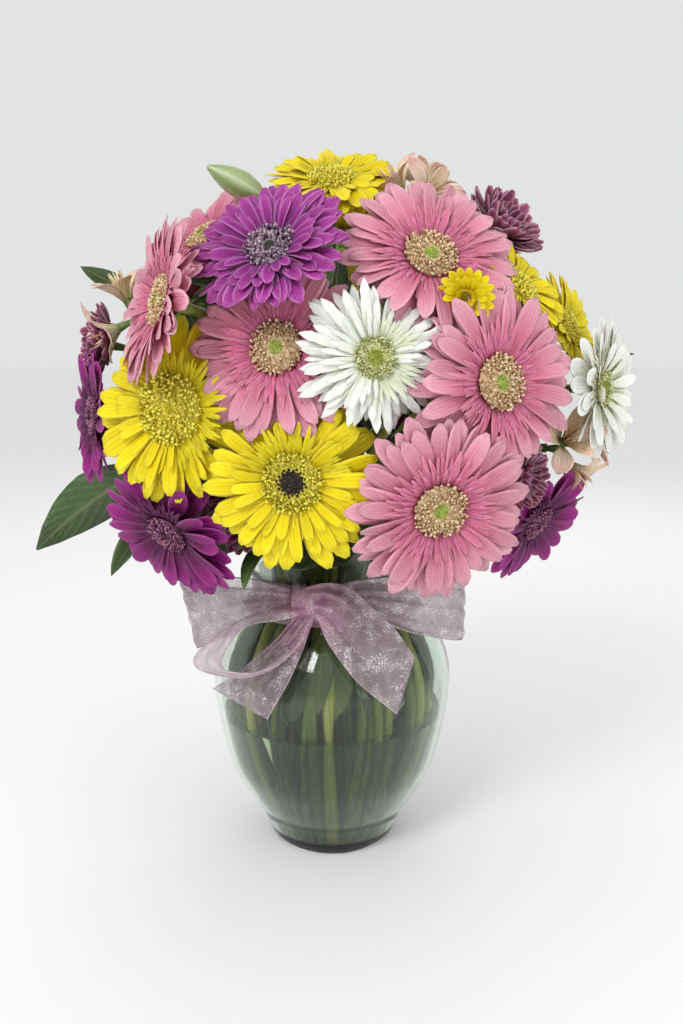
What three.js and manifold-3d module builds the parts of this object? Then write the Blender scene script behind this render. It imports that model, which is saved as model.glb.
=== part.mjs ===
// Gerberas in a glass vase.
//
// A domed bouquet of gerberas, filled in with daisy chrysanthemums, alstroemerias and
// leaves, stands in water in a clear glass urn vase that wears an organza bow.
// Millimetres, +Z up. The origin is the centre of the vase's foot, on the surface that
// it stands on. The front, where the bow is, faces -Y, and +X is to the right of it.
// An azimuth is 0 at the front and grows to the right; an elevation grows upwards.

import * as THREE from 'three';
import { mergeVertices } from 'three/addons/utils/BufferGeometryUtils.js';
import Module from 'manifold-3d';

const wasm = await Module();
wasm.setup();

// Driving dimensions

const gap = 0.3;                 // between pieces that rest on each other
const sliver = 0.05;             // edges shorter than this are merged after a cut or a join

const vase = {
  sides: 24,
  wall: 4,
  base: 9,                       // thickness of the solid glass foot
  footRadius: 46,
  levels: [6, 30, 60, 90, 118, 145, 168, 192, 212, 232],
  // radius and height of the outer wall: foot, flank, belly, shoulder, neck and lip
  outline: [[48.5, 6], [61, 30], [78, 62], [88, 118], [80, 155], [57, 192], [70, 232]],
};

const waterLevel = 101;

const bouquet = {
  centre: [0, -20, 326],         // middle of the dome that the blooms stand on
  neckHeight: 190,               // where the stems cross, inside the vase's neck
  neckSpread: 17,
  widestLean: 2,                 // of a bloom from upright, in radians, at the neck's spread
  stemPitch: 6.4,
  footSpread: 33,
  knotRadius: 20,                // core that the stems pass through at the crossing
  knotHeight: 26,
};

const gerberaStem = 2.9;
const slimStem = 1.9;
const stemBend = {
  splay: 0.006,                  // lean of a stem as it leaves the crossing, over its place there
  straight: 0.45,                // how long it keeps that lean, over its length
  turn: 0.34,                    // how far behind the bloom it starts to turn
  steps: 3,
};
const gerberaCalyx = { radius: 0.2, length: 13, shoulderAt: 0.35, shoulder: 0.85 };

// Every petal: where it is widest and thickest, as shares of its length
const petalShape = { widestAt: 0.62, thickestAt: 0.55 };

const gerberaShape = {
  root: 0.32,                    // shares of the bloom's radius
  halfWidth: 0.14,
  discRadius: 0.27,
  upperLength: 0.8,              // of the upper petals, over the lower ones
  tipShare: 0.68,                // tip's width over the petal's widest
  thickness: 1.4,
  crown: 0.3,                    // how much of the thickness is above the petal's edges
  droop: 0.07,                   // how far a tip falls, over the petal's length
  lowerRise: -2,                 // degrees added to the bloom's cup, by layer
  upperRise: 9,
  unevenRise: 4,
  whiteWidth: 0.85,              // white petals are narrower than the rest
  hubTop: -1,
  hubBottom: -5,
};
const mumShape = {
  petals: 14, root: 5, halfWidth: 3.6, lowerRise: 10, upperRise: 34, unevenRise: 6, upperLength: 0.8,
  thickness: 1.3, crown: 0.3, droop: 0.05, tipShare: 0.6, hubTop: 4.5, hubBottom: -3,
};
const funnelShape = {
  petals: 6, root: 3.2, broad: 7, narrow: 4.5, broadRise: 46, narrowRise: 58, unevenRise: 4,
  narrowLength: 0.92, thickness: 1.4, crown: 0.4, droop: -0.04, tipShare: 0.4, hubTop: 1, hubBottom: -5,
};
// The disc's florets stand in rings: radius over its rim, height, and relief between florets
const discShape = {
  sides: 7, middle: 3, inner: { share: 0.42, height: 3.6, relief: 0.5 }, outer: { share: 0.8, height: 4.8, relief: 0.9 },
  rimRelief: 0.5, rimRoom: 1.6, rimReach: 0.6, flatRim: 4, floretTurn: 2.4, ringTurn: 1.3,
};
const gerberaUneven = { turn: 0.2, length: 0.1 };
const petalReach = { gerbera: 4, chrysanthemum: 3 };
const mumCalyx = { radius: 4, length: 6 };
const funnelCalyx = { radius: 3, length: 3 };

// How petals give way to the blooms above them: they bend down, in degrees, and then shorten
const givingWay = {
  clearance: 1.2, aside: 1.5, beyond: 3, most: 36, step: 3, shortest: 0.35, shorten: 0.13, underUpper: 8,
};

// Every bloom, from the uppermost down: the petals of each bend under those before it.
// at: the bloom's middle. faces: azimuth and elevation that it looks towards.
// cup: how many degrees a gerbera's petals rise.
const heads = [
  { kind: 'gerbera', name: '01_violet', at: [-31, -142, 415], faces: [-20, 36], radius: 45, cup: 16 },
  { kind: 'gerbera', name: '02_pink', at: [62, -148, 273], faces: [14, -12], radius: 55, cup: 8 },
  { kind: 'gerbera', name: '03_pink', at: [95, -136, 343], faces: [30, 6], radius: 55, cup: 10 },
  { kind: 'gerbera', name: '06_pink', at: [57, -122, 413], faces: [14, 33], radius: 54, cup: 12 },
  { kind: 'gerbera', name: '04_yellow', at: [110, -103, 399], faces: [52, 40], radius: 40, cup: 12 },
  { kind: 'gerbera', name: '05_white', at: [25, -158, 357], faces: [6, 7], radius: 43, cup: 6 },
  { kind: 'gerbera', name: '07_pink', at: [-28, -143, 362], faces: [-14, 11], radius: 52, cup: 8 },
  { kind: 'gerbera', name: '08_pink', at: [-92, -132, 388], faces: [-62, 14], radius: 50, cup: 19 },
  { kind: 'gerbera', name: '10_yellow', at: [-20, -150, 289], faces: [-6, -6], radius: 52, cup: 4 },
  { kind: 'gerbera', name: '09_yellow', at: [-89, -128, 328], faces: [-24, 2], radius: 57, cup: 8 },
  { kind: 'gerbera', name: '11_white', at: [171, -72, 338], faces: [52, 2], radius: 45, cup: 14 },
  { kind: 'gerbera', name: '12_yellow', at: [154, -48, 376], faces: [56, 22], radius: 38, cup: 14 },
  { kind: 'chrysanthemum', name: 'low_right', at: [117, -104, 286], faces: [46, 0], radius: 19 },
  { kind: 'gerbera', name: '13_magenta', at: [132, -76, 253], faces: [46, -30], radius: 42, cup: 14 },
  { kind: 'gerbera', name: '14_magenta', at: [-99, -104, 252], faces: [-34, -34], radius: 48, cup: 14 },
  { kind: 'gerbera', name: '15_magenta', at: [-153, -58, 320], faces: [-62, 2], radius: 44, cup: 12 },
  { kind: 'gerbera', name: '16_pink', at: [-82, -40, 434], faces: [-46, 46], radius: 44, cup: 12 },
  { kind: 'gerbera', name: '17_yellow', at: [1, -44, 468], faces: [0, 56], radius: 44, cup: 10 },
  { kind: 'gerbera', name: '18_white', at: [106, 20, 404], faces: [100, 30], radius: 52, cup: 10 },
  { kind: 'gerbera', name: '19_yellow', at: [8, 62, 444], faces: [174, 48], radius: 54, cup: 10 },
  { kind: 'gerbera', name: '20_pink', at: [-98, 42, 400], faces: [-126, 30], radius: 52, cup: 10 },
  { kind: 'gerbera', name: '21_pink', at: [136, 24, 312], faces: [98, -4], radius: 50, cup: 8 },
  { kind: 'gerbera', name: '22_magenta', at: [60, 96, 326], faces: [150, 4], radius: 54, cup: 8 },
  { kind: 'gerbera', name: '23_yellow', at: [-48, 98, 322], faces: [-156, 2], radius: 54, cup: 8 },
  { kind: 'gerbera', name: '24_pink', at: [-134, 30, 308], faces: [-106, -4], radius: 50, cup: 8 },
  { kind: 'chrysanthemum', name: 'top_right', at: [108, -58, 438], faces: [50, 44], radius: 27 },
  { kind: 'chrysanthemum', name: 'low_left', at: [-56, -104, 262], faces: [-24, -8], radius: 22 },
  { kind: 'chrysanthemum', name: 'left', at: [-150, -40, 366], faces: [-66, 12], radius: 25 },
  { kind: 'alstroemeria', name: 'top', at: [52, -44, 450], faces: [30, 66], florets: 3 },
  { kind: 'alstroemeria', name: 'left', at: [-128, -46, 382], faces: [-60, 20], florets: 2 },
  { kind: 'alstroemeria', name: 'right', at: [146, -64, 299], faces: [52, 2], florets: 3 },
  { kind: 'alstroemeria', name: 'back', at: [62, 20, 446], faces: [110, 60], florets: 2 },
];
const darkEyed = '10_yellow';
const fullPetals = 20;           // petals that would fill a bloom at their plain width
const frontPetals = 18;
const backPetals = 14;
const backFrom = 20;             // how far back, in Y, the blooms have fewer petals
const alstroemeriaShape = { lean: 46, stalk: 12, stalkDepth: 6, size: 26 };

// Leaves: where each starts, where its tip is, its width, and its roll from lying flat
const leaves = [
  { from: [-128, -20, 284], to: [-210, -22, 222], width: 42, roll: 70 },
  { from: [-118, -50, 252], to: [-146, -62, 212], width: 22, roll: 60 },
  { from: [-130, -22, 392], to: [-166, -32, 418], width: 15, roll: 60 },
  { from: [150, -14, 346], to: [206, -30, 358], width: 15, roll: 50 },
  { from: [-34, -74, 246], to: [-52, -112, 216], width: 18, roll: 20 },
  { from: [-40, -40, 446], to: [-74, -56, 478], width: 18, roll: 60 },
  { from: [22, 58, 258], to: [46, 132, 230], width: 38, roll: 0 },
  { from: [88, 40, 256], to: [150, 84, 230], width: 38, roll: 0 },
  { from: [-100, 20, 250], to: [-160, 48, 226], width: 34, roll: 0 },
];

// More leaves droop under the blooms, on a smaller dome, where the blooms leave gaps
const backing = {
  centre: [0, -20, 300],
  radii: [150, 124, 158],
  fromShare: 0.72,
  toShare: 0.94,
  fall: 30,                      // degrees between a leaf's start and its tip
  width: 44,
  rows: [
    { elevation: 62, azimuths: [-62, 58, 130, 235] },
    { elevation: 50, azimuths: [-4] },
    { elevation: 32, azimuths: [86, 182, 272] },
    { elevation: 6, azimuths: [118, 186, 236, 284] },
  ],
};

const leafShape = {
  steps: 4, arch: 0.4, belly: 0.75, fullness: 0.9, edgeLift: 2, ribDrop: 1.4, stalkTo: 0.16,
};

const colours = {
  pink: 0xdc7f94, yellow: 0xf0d312, violet: 0x9a3f9c, magenta: 0x6d1a58, white: 0xf0f0e4,
  disc: 0xb5ab52, darkDisc: 0x2a1d18, plum: 0x7b3a5e, cream: 0xd9b99b, green: 0x5f7d35,
  glass: 0xcfdcd4, water: 0x9fb391, organza: 0x9c7485,
};

// Seeded random draws, so that every build is the same

function seededRandom(seed) {
  let state = seed;
  return () => {
    state = (state * 1664525 + 1013904223) % 4294967296;
    return state / 4294967296;
  };
}

// Directions and frames

const radians = THREE.MathUtils.degToRad;

function direction([azimuth, elevation]) {
  const a = radians(azimuth);
  const e = radians(elevation);
  return new THREE.Vector3(Math.sin(a) * Math.cos(e), -Math.cos(a) * Math.cos(e), Math.sin(e));
}

function onDome(azimuth, elevation, share) {
  const outward = direction([azimuth, elevation]).toArray();
  return outward.map((part, k) => backing.centre[k] + share * backing.radii[k] * part);
}

function place({ at, faces }) {
  const centre = new THREE.Vector3(...at);
  const z = direction(faces);
  const x = new THREE.Vector3(0, 0, 1).cross(z).normalize();
  const y = z.clone().cross(x);
  const world = new THREE.Matrix4().makeBasis(x, y, z).setPosition(centre);
  return { centre, axis: z, world, local: world.clone().invert() };
}

// Solids

function solidOf(points, faces) {
  return new wasm.Manifold(new wasm.Mesh({
    numProp: 3,
    vertProperties: Float32Array.from(points),
    triVerts: Uint32Array.from(faces),
  }));
}

function rightWayOut(points, faces) {
  const solid = solidOf(points, faces);
  return solid.volume() > 0 ? solid : solidOf(points, faces.toReversed());
}

function solidOfGeometry(geometry) {
  geometry.deleteAttribute('normal');
  geometry.deleteAttribute('uv');
  const merged = mergeVertices(geometry, 1e-4);
  const index = merged.index.array;
  const faces = [];
  for (let i = 0; i < index.length; i += 3) {
    const [a, b, c] = index.slice(i, i + 3);
    if (a !== b && b !== c && c !== a) faces.push(a, b, c);
  }
  return solidOf(merged.attributes.position.array, faces);
}

function geometryOf(solid) {
  const mesh = solid.getMesh();
  const geometry = new THREE.BufferGeometry();
  geometry.setAttribute('position', new THREE.BufferAttribute(mesh.vertProperties, 3));
  geometry.setIndex(new THREE.BufferAttribute(mesh.triVerts, 1));
  geometry.computeVertexNormals();
  return geometry;
}

function moved(solid, matrix) {
  return solid.transform(matrix.elements);
}

// The largest piece of a solid: what a cut leaves loose is dropped
function largest(solid) {
  const pieces = solid.decompose();
  return pieces.reduce((best, piece) => (piece.volume() > best.volume() ? piece : best)).simplify(sliver);
}

function touches(a, b) {
  const p = a.boundingBox();
  const q = b.boundingBox();
  const apart = [0, 1, 2].some((k) => p.min[k] > q.max[k] || q.min[k] > p.max[k]);
  return !apart && a.intersect(b).volume() > 1e-5;
}

function cutClear(solid, cutters) {
  const hits = cutters.filter((cutter) => touches(solid, cutter));
  return largest(hits.reduce((left, cutter) => left.subtract(cutter), solid));
}

function turned(profile, sides) {
  const points = profile.map(([r, z]) => new THREE.Vector2(r, z));
  return solidOfGeometry(new THREE.LatheGeometry(points, sides).rotateX(Math.PI / 2));
}

// Vase and water

const outline = new THREE.SplineCurve(vase.outline.map(([r, z]) => new THREE.Vector2(r, z)));
const outlinePoints = outline.getPoints(200);

function vaseRadius(z) {
  const k = outlinePoints.findIndex((point) => point.y >= z);
  if (k < 1) return k === 0 ? outlinePoints[0].x : outlinePoints.at(-1).x;
  const [a, b] = [outlinePoints[k - 1], outlinePoints[k]];
  return THREE.MathUtils.lerp(a.x, b.x, (z - a.y) / (b.y - a.y));
}

// Walls are straight between the levels, so that water and wall keep their gap
function wallRadius(z) {
  const k = Math.max(1, vase.levels.findIndex((level) => level >= z));
  const [low, high] = [vase.levels[k - 1], vase.levels[k]];
  return THREE.MathUtils.lerp(vaseRadius(low), vaseRadius(high), (z - low) / (high - low));
}

function innerRadius(z) {
  return wallRadius(z) - vase.wall;
}

function makeVase() {
  const { levels, wall, base, footRadius, sides } = vase;
  const top = levels.at(-1);
  const outer = levels.map((z) => [vaseRadius(z), z]);
  const inner = levels.slice(1).reverse().map((z) => [innerRadius(z), z]);
  const lip = [innerRadius(top) + wall / 2, top + wall / 2];
  const floor = [[innerRadius(base), base], [0, base]];
  return turned([[0, 0], [footRadius, 0], ...outer, lip, ...inner, ...floor], sides);
}

function makeWater(stems) {
  const { levels, base, sides } = vase;
  const bottom = base + gap;
  const between = levels.filter((z) => z > bottom && z < waterLevel);
  const wall = [bottom, ...between, waterLevel].map((z) => [innerRadius(z) - gap, z]);
  return largest(turned([[0, bottom], ...wall, [0, waterLevel]], sides).subtract(stems));
}

// A bloom is one star of petals round a hub. Each petal is a thin lens whose upper and
// lower faces share their outline; neighbours share the point where their roots meet.

function spine(petal, root, share, droop) {
  const along = petal.length * share;
  return [
    root + along * Math.cos(petal.rise),
    along * Math.sin(petal.rise) - droop * petal.length * share * share,
  ];
}

function petalStar(star, grow = 0) {
  const { petals, root, thickness, crown, droop, tipShare, hubTop, hubBottom } = star;
  const edgeGrow = 2.5 * grow;     // a lens has thin edges, so they move out further than its faces
  const points = [0, 0, hubTop + grow, 0, 0, hubBottom - grow];
  const faces = [];
  const add = (angle, [r, z], side) => {
    const [c, s] = [Math.cos(angle), Math.sin(angle)];
    return points.push(r * c - side * s, r * s + side * c, z) / 3 - 1;
  };
  const valleys = petals.map((petal, i) => {
    const before = petals.at(i - 1).angle - (i === 0 ? 2 * Math.PI : 0);
    return add((before + petal.angle) / 2, [root + grow, 0], 0);
  });
  petals.forEach((petal, i) => {
    const at = (share) => spine(petal, root, share, droop);
    const wide = petal.halfWidth + edgeGrow;
    const tip = petal.halfWidth * tipShare + edgeGrow;
    const end = at(1 + edgeGrow / petal.length);
    const right = add(petal.angle, at(petalShape.widestAt), -wide);
    const tipRight = add(petal.angle, end, -tip);
    const tipLeft = add(petal.angle, end, tip);
    const left = add(petal.angle, at(petalShape.widestAt), wide);
    const [r, z] = at(petalShape.thickestAt);
    const across = (depth) => [r - depth * Math.sin(petal.rise), z + depth * Math.cos(petal.rise)];
    const upper = add(petal.angle, across(crown + grow), 0);
    const lower = add(petal.angle, across(crown - thickness - grow), 0);
    const rim = [valleys[i], right, tipRight, tipLeft, left, valleys[(i + 1) % petals.length]];
    for (let k = 0; k < 5; k += 1) {
      faces.push(rim[k], rim[k + 1], upper, rim[k + 1], rim[k], lower);
    }
    faces.push(rim[5], 0, upper, 0, rim[0], upper);
    faces.push(1, rim[5], lower, rim[0], 1, lower);
  });
  return solidOf(points, faces);
}

// How low a point must be to pass under a bloom, in that bloom's own frame
function underside(star, point) {
  const r = Math.hypot(point.x, point.y);
  const calyx = r < gerberaCalyx.length ? -2 * gerberaCalyx.length : Infinity;
  if (r < star.root) return Math.min(calyx, star.hubBottom - 1);
  const angle = Math.atan2(point.y, point.x);
  let lowest = calyx;
  for (const petal of star.petals) {
    const off = angle - petal.angle;
    const forward = r * Math.cos(off);
    const aside = Math.abs(r * Math.sin(off));
    const share = (forward - star.root) / (petal.length * Math.cos(petal.rise));
    if (forward > 0 && aside < petal.halfWidth + givingWay.aside && share < 1.04) {
      const [, z] = spine(petal, star.root, Math.min(Math.max(share, 0), 1), star.droop);
      lowest = Math.min(lowest, z - star.thickness);
    }
  }
  return lowest;
}

// Bends each petal down, or shortens it, until it passes under the blooms above its own
function bendClear(star, frame, above) {
  const { clearance, beyond, most, step, shortest, shorten, underUpper } = givingWay;
  const samples = [];
  for (let share = 0.2; share < 1.03; share += 0.1) {
    for (const side of [-1, 0, 1]) samples.push([share, side * Math.min(1, share + 0.3, 2 - share)]);
  }
  const isClear = (petal) => samples.every(([share, side]) => {
    const [r, z] = spine(petal, star.root, share, star.droop);
    const aside = side * petal.halfWidth;
    const [c, s] = [Math.cos(petal.angle), Math.sin(petal.angle)];
    const point = new THREE.Vector3(r * c - aside * s, r * s + aside * c, z + star.crown);
    point.applyMatrix4(frame.world);
    return above.every((other) => {
      if (point.distanceTo(other.frame.centre) > other.reach + beyond) return true;
      const inOther = point.clone().applyMatrix4(other.frame.local);
      return inOther.z < underside(other.star, inOther) - clearance;
    });
  });
  for (const petal of star.petals) {
    const { rise, length } = petal;
    let fits = false;
    for (let cut = 1; cut > shortest && !fits; cut -= shorten) {
      for (let bend = 0; bend <= most && !fits; bend += step) {
        petal.length = length * cut;
        petal.rise = rise - radians(bend);
        fits = isClear(petal);
      }
    }
  }
  // a lower petal stays under the upper ones beside it
  star.petals.forEach((petal, i) => {
    if (i % 2) return;
    const beside = [star.petals.at(i - 1), star.petals[(i + 1) % star.petals.length]];
    petal.rise = Math.min(petal.rise, ...beside.map((upper) => upper.rise - radians(underUpper)));
  });
  // the hub reaches down to the lowest petal, so that a flat calyx fits under it
  const depths = star.petals.map((petal) => spine(petal, star.root, petalShape.thickestAt, star.droop)[1]);
  star.hubBottom = Math.min(star.hubBottom, ...depths.map((depth) => depth - star.thickness));
}

function gerberaStar({ radius, cup, name, at }, random) {
  const shape = gerberaShape;
  const root = shape.root * radius;
  const count = at[1] < backFrom ? frontPetals : backPetals;
  const slender = name.endsWith('white') ? shape.whiteWidth : 1;
  const petals = [];
  for (let i = 0; i < count; i += 1) {
    const isUpper = i % 2 === 1;
    const full = (radius - root) / Math.cos(radians(cup));
    const rise = cup + (isUpper ? shape.upperRise : shape.lowerRise);
    petals.push({
      angle: (2 * Math.PI * (i + gerberaUneven.turn * (random() - 0.5))) / count,
      rise: radians(rise + shape.unevenRise * (random() - 0.5)),
      length: full * (isUpper ? shape.upperLength : 1) * (1 + gerberaUneven.length * (random() - 0.5)),
      halfWidth: shape.halfWidth * radius * slender * (fullPetals / count) ** 0.6,
    });
  }
  return { ...shape, petals, root };
}

// A disc fills the ring inside the petals' roots, with its florets in relief
function discSolid(radius, cup, grow = 0) {
  const { sides, middle, inner, outer, rimRelief, rimRoom, rimReach, flatRim, floretTurn, ringTurn } = discShape;
  const rim = gerberaShape.discRadius * radius + grow;
  const steepest = Math.tan(radians(cup + gerberaShape.upperRise + gerberaShape.unevenRise));
  const under = gerberaShape.hubTop + gap;
  const rimAt = under + rim * rimReach * steepest + rimRoom;
  const lift = Math.max(0, rimAt - flatRim);
  const rings = [
    { r: inner.share * rim, z: inner.height + lift, relief: inner.relief },
    { r: outer.share * rim, z: outer.height + lift, relief: outer.relief },
    { r: rim, z: rimAt, relief: rimRelief },
  ];
  const points = [0, 0, middle + lift + grow, 0, 0, under - grow];
  const faces = [];
  rings.forEach(({ r, z, relief }, k) => {
    for (let i = 0; i < sides; i += 1) {
      const angle = (2 * Math.PI * i) / sides;
      const height = z + relief * Math.cos(floretTurn * i + ringTurn * k) + grow;
      points.push(r * Math.cos(angle), r * Math.sin(angle), height);
    }
  });
  const on = (ring, i) => 2 + ring * sides + (i % sides);
  for (let i = 0; i < sides; i += 1) {
    faces.push(0, on(0, i), on(0, i + 1));
    for (let k = 0; k < rings.length - 1; k += 1) {
      faces.push(on(k, i), on(k + 1, i), on(k + 1, i + 1), on(k, i), on(k + 1, i + 1), on(k, i + 1));
    }
    faces.push(1, on(2, i + 1), on(2, i));
  }
  return solidOf(points, faces);
}

// Chrysanthemum: two rings of short petals round a raised eye
function mumStar(radius, random) {
  const shape = mumShape;
  const petals = [];
  for (let i = 0; i < shape.petals; i += 1) {
    const isUpper = i % 2 === 1;
    petals.push({
      angle: (2 * Math.PI * i) / shape.petals,
      rise: radians((isUpper ? shape.upperRise : shape.lowerRise) + shape.unevenRise * (random() - 0.5)),
      length: (radius - shape.root) * (isUpper ? shape.upperLength : 1),
      halfWidth: shape.halfWidth,
    });
  }
  return { ...shape, petals };
}

// Alstroemeria floret: a funnel of three broad and three narrow petals
function funnelStar(size, random) {
  const shape = funnelShape;
  const petals = [];
  for (let i = 0; i < shape.petals; i += 1) {
    const isNarrow = i % 2 === 1;
    petals.push({
      angle: (2 * Math.PI * i) / shape.petals,
      rise: radians((isNarrow ? shape.narrowRise : shape.broadRise) + shape.unevenRise * (random() - 0.5)),
      length: size * (isNarrow ? shape.narrowLength : 1),
      halfWidth: isNarrow ? shape.narrow : shape.broad,
    });
  }
  return { ...shape, petals };
}

function alstroemeriaSolid(florets, random, grow = 0) {
  const { lean, stalk, stalkDepth, size } = alstroemeriaShape;
  const solids = [];
  for (let i = 0; i < florets; i += 1) {
    const tilt = new THREE.Euler(radians(lean), 0, (2 * Math.PI * i) / florets, 'ZXY');
    const turn = new THREE.Matrix4().makeRotationFromEuler(tilt);
    const along = new THREE.Vector3(0, 0, stalk).applyMatrix4(turn);
    turn.setPosition(along);
    solids.push(moved(petalStar(funnelStar(size, random), grow), turn));
    solids.push(tube([new THREE.Vector3(0, 0, -stalkDepth), along], [slimStem + grow, slimStem + grow], 4));
  }
  return solids.reduce((all, solid) => all.add(solid));
}

// Stems: straight from the vase's floor through the crossing in its neck, then in a
// curve up to the back of each bloom, where they widen into its calyx.

function tube(path, radii, sides) {
  const points = [];
  const faces = [];
  path.forEach((point, k) => {
    const ahead = path[Math.min(k + 1, path.length - 1)];
    const behind = path[Math.max(k - 1, 0)];
    const along = ahead.clone().sub(behind).normalize();
    const across = new THREE.Vector3(0.3, 1, 0).cross(along).normalize();
    const other = along.clone().cross(across);
    for (let i = 0; i < sides; i += 1) {
      const angle = (2 * Math.PI * i) / sides;
      const spot = point.clone();
      spot.addScaledVector(across, radii[k] * Math.cos(angle));
      spot.addScaledVector(other, radii[k] * Math.sin(angle));
      points.push(...spot.toArray());
    }
  });
  const on = (k, i) => k * sides + (i % sides);
  const last = path.length - 1;
  for (let k = 0; k < last; k += 1) {
    for (let i = 0; i < sides; i += 1) {
      faces.push(on(k, i), on(k, i + 1), on(k + 1, i + 1), on(k, i), on(k + 1, i + 1), on(k + 1, i));
    }
  }
  for (let i = 1; i < sides - 1; i += 1) {
    faces.push(on(0, 0), on(0, i + 1), on(0, i), on(last, 0), on(last, i), on(last, i + 1));
  }
  return solidOf(points, faces);
}

// Spreads the stems over the neck in the order of the blooms, a pitch apart
function neckSpots(heads) {
  const spots = heads.map(({ frame }) => {
    const from = frame.centre.clone().sub(new THREE.Vector3(...bouquet.centre)).normalize();
    const r = (bouquet.neckSpread * Math.acos(from.z)) / bouquet.widestLean;
    return new THREE.Vector2(from.x, from.y).setLength(r);
  });
  const rounds = 150;
  for (let round = 0; round < rounds; round += 1) {
    for (let i = 0; i < spots.length; i += 1) {
      for (let j = 0; j < i; j += 1) {
        const apart = spots[i].clone().sub(spots[j]);
        const short = bouquet.stemPitch - apart.length();
        if (short > 0) {
          apart.setLength(short / 2);
          spots[i].add(apart);
          spots[j].sub(apart);
        }
      }
    }
    for (const spot of spots) spot.clampLength(0, bouquet.knotRadius);
  }
  return spots;
}

function stemPath(head, spot, floor) {
  const { neckHeight, footSpread, knotRadius } = bouquet;
  const foot = new THREE.Vector3(spot.x, spot.y, 0).multiplyScalar(footSpread / knotRadius).setZ(floor);
  const neck = new THREE.Vector3(spot.x, spot.y, neckHeight - bouquet.knotHeight / 2);
  const calyx = head.frame.centre.clone().addScaledVector(head.frame.axis, head.hub - head.calyxLength);
  const reach = calyx.distanceTo(neck);
  const rise = new THREE.Vector3(spot.x * stemBend.splay, spot.y * stemBend.splay, 1).normalize();
  const curve = new THREE.CubicBezierCurve3(
    neck,
    neck.clone().addScaledVector(rise, reach * stemBend.straight),
    calyx.clone().addScaledVector(head.frame.axis, -reach * stemBend.turn),
    calyx,
  );
  return [foot, ...curve.getPoints(stemBend.steps)];
}

function makeStem(head, spot, grow = 0) {
  const { radius, calyxRadius, calyxLength, frame, hub } = head;
  const path = stemPath(head, spot, vase.base + gap - grow);
  const radii = path.map(() => radius + grow);
  if (radius === gerberaStem) {
    const { shoulderAt, shoulder } = gerberaCalyx;
    path.push(frame.centre.clone().addScaledVector(frame.axis, hub - calyxLength * shoulderAt));
    radii.push(calyxRadius * shoulder + grow);
  }
  path.push(frame.centre.clone().addScaledVector(frame.axis, hub + grow));
  radii.push(calyxRadius + grow);
  return tube(path, radii, radius > slimStem ? 5 : 4);
}

// A leaf is a thin arched lens with a rib line, widest before its middle
function makeLeaf({ from, to, width, roll }, stemPoints) {
  const { steps, arch, belly, fullness, edgeLift, ribDrop, stalkTo } = leafShape;
  const start = new THREE.Vector3(...from);
  const end = new THREE.Vector3(...to);
  const along = end.clone().sub(start);
  const across = along.clone().cross(new THREE.Vector3(0, 0, 1)).normalize();
  across.applyAxisAngle(along.clone().normalize(), radians(roll));
  const up = across.clone().cross(along).normalize();
  const points = [];
  const faces = [];
  const spotAt = (share, side, lift) => {
    const rise = arch * along.length() * share * (1 - share);
    const spot = start.clone().addScaledVector(along, share).addScaledVector(across, side);
    return spot.addScaledVector(up, rise + lift);
  };
  const add = (...place) => points.push(...spotAt(...place).toArray()) / 3 - 1;
  const base = add(0, 0, 0);
  const rows = [];
  for (let k = 1; k < steps; k += 1) {
    const share = k / steps;
    const half = (width / 2) * Math.sin(Math.PI * share ** belly) ** fullness;
    const corners = [[-half, edgeLift], [0, 0], [half, edgeLift], [0, -ribDrop]];
    rows.push(corners.map(([side, lift]) => add(share, side, lift)));
  }
  const tip = add(1, 0, 0);
  const [first, final] = [rows[0], rows.at(-1)];
  for (let i = 0; i < 4; i += 1) {
    const j = (i + 1) % 4;
    faces.push(base, first[i], first[j], tip, final[j], final[i]);
    for (let k = 0; k < rows.length - 1; k += 1) {
      faces.push(rows[k][i], rows[k + 1][i], rows[k + 1][j], rows[k][i], rows[k + 1][j], rows[k][j]);
    }
  }
  const leaf = rightWayOut(points, faces);
  const nearest = stemPoints.reduce((best, point) => (
    point.distanceTo(start) < best.distanceTo(start) ? point : best));
  const stalk = tube([nearest, spotAt(stalkTo, 0, 0)], [slimStem, slimStem], 4);
  return { leaf, stalk };
}

// Ribbon: a band round the neck, a knot, and strips that leave it as loops and tails.
// A strip is a list of stations, each with its upper and its lower edge.

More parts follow.
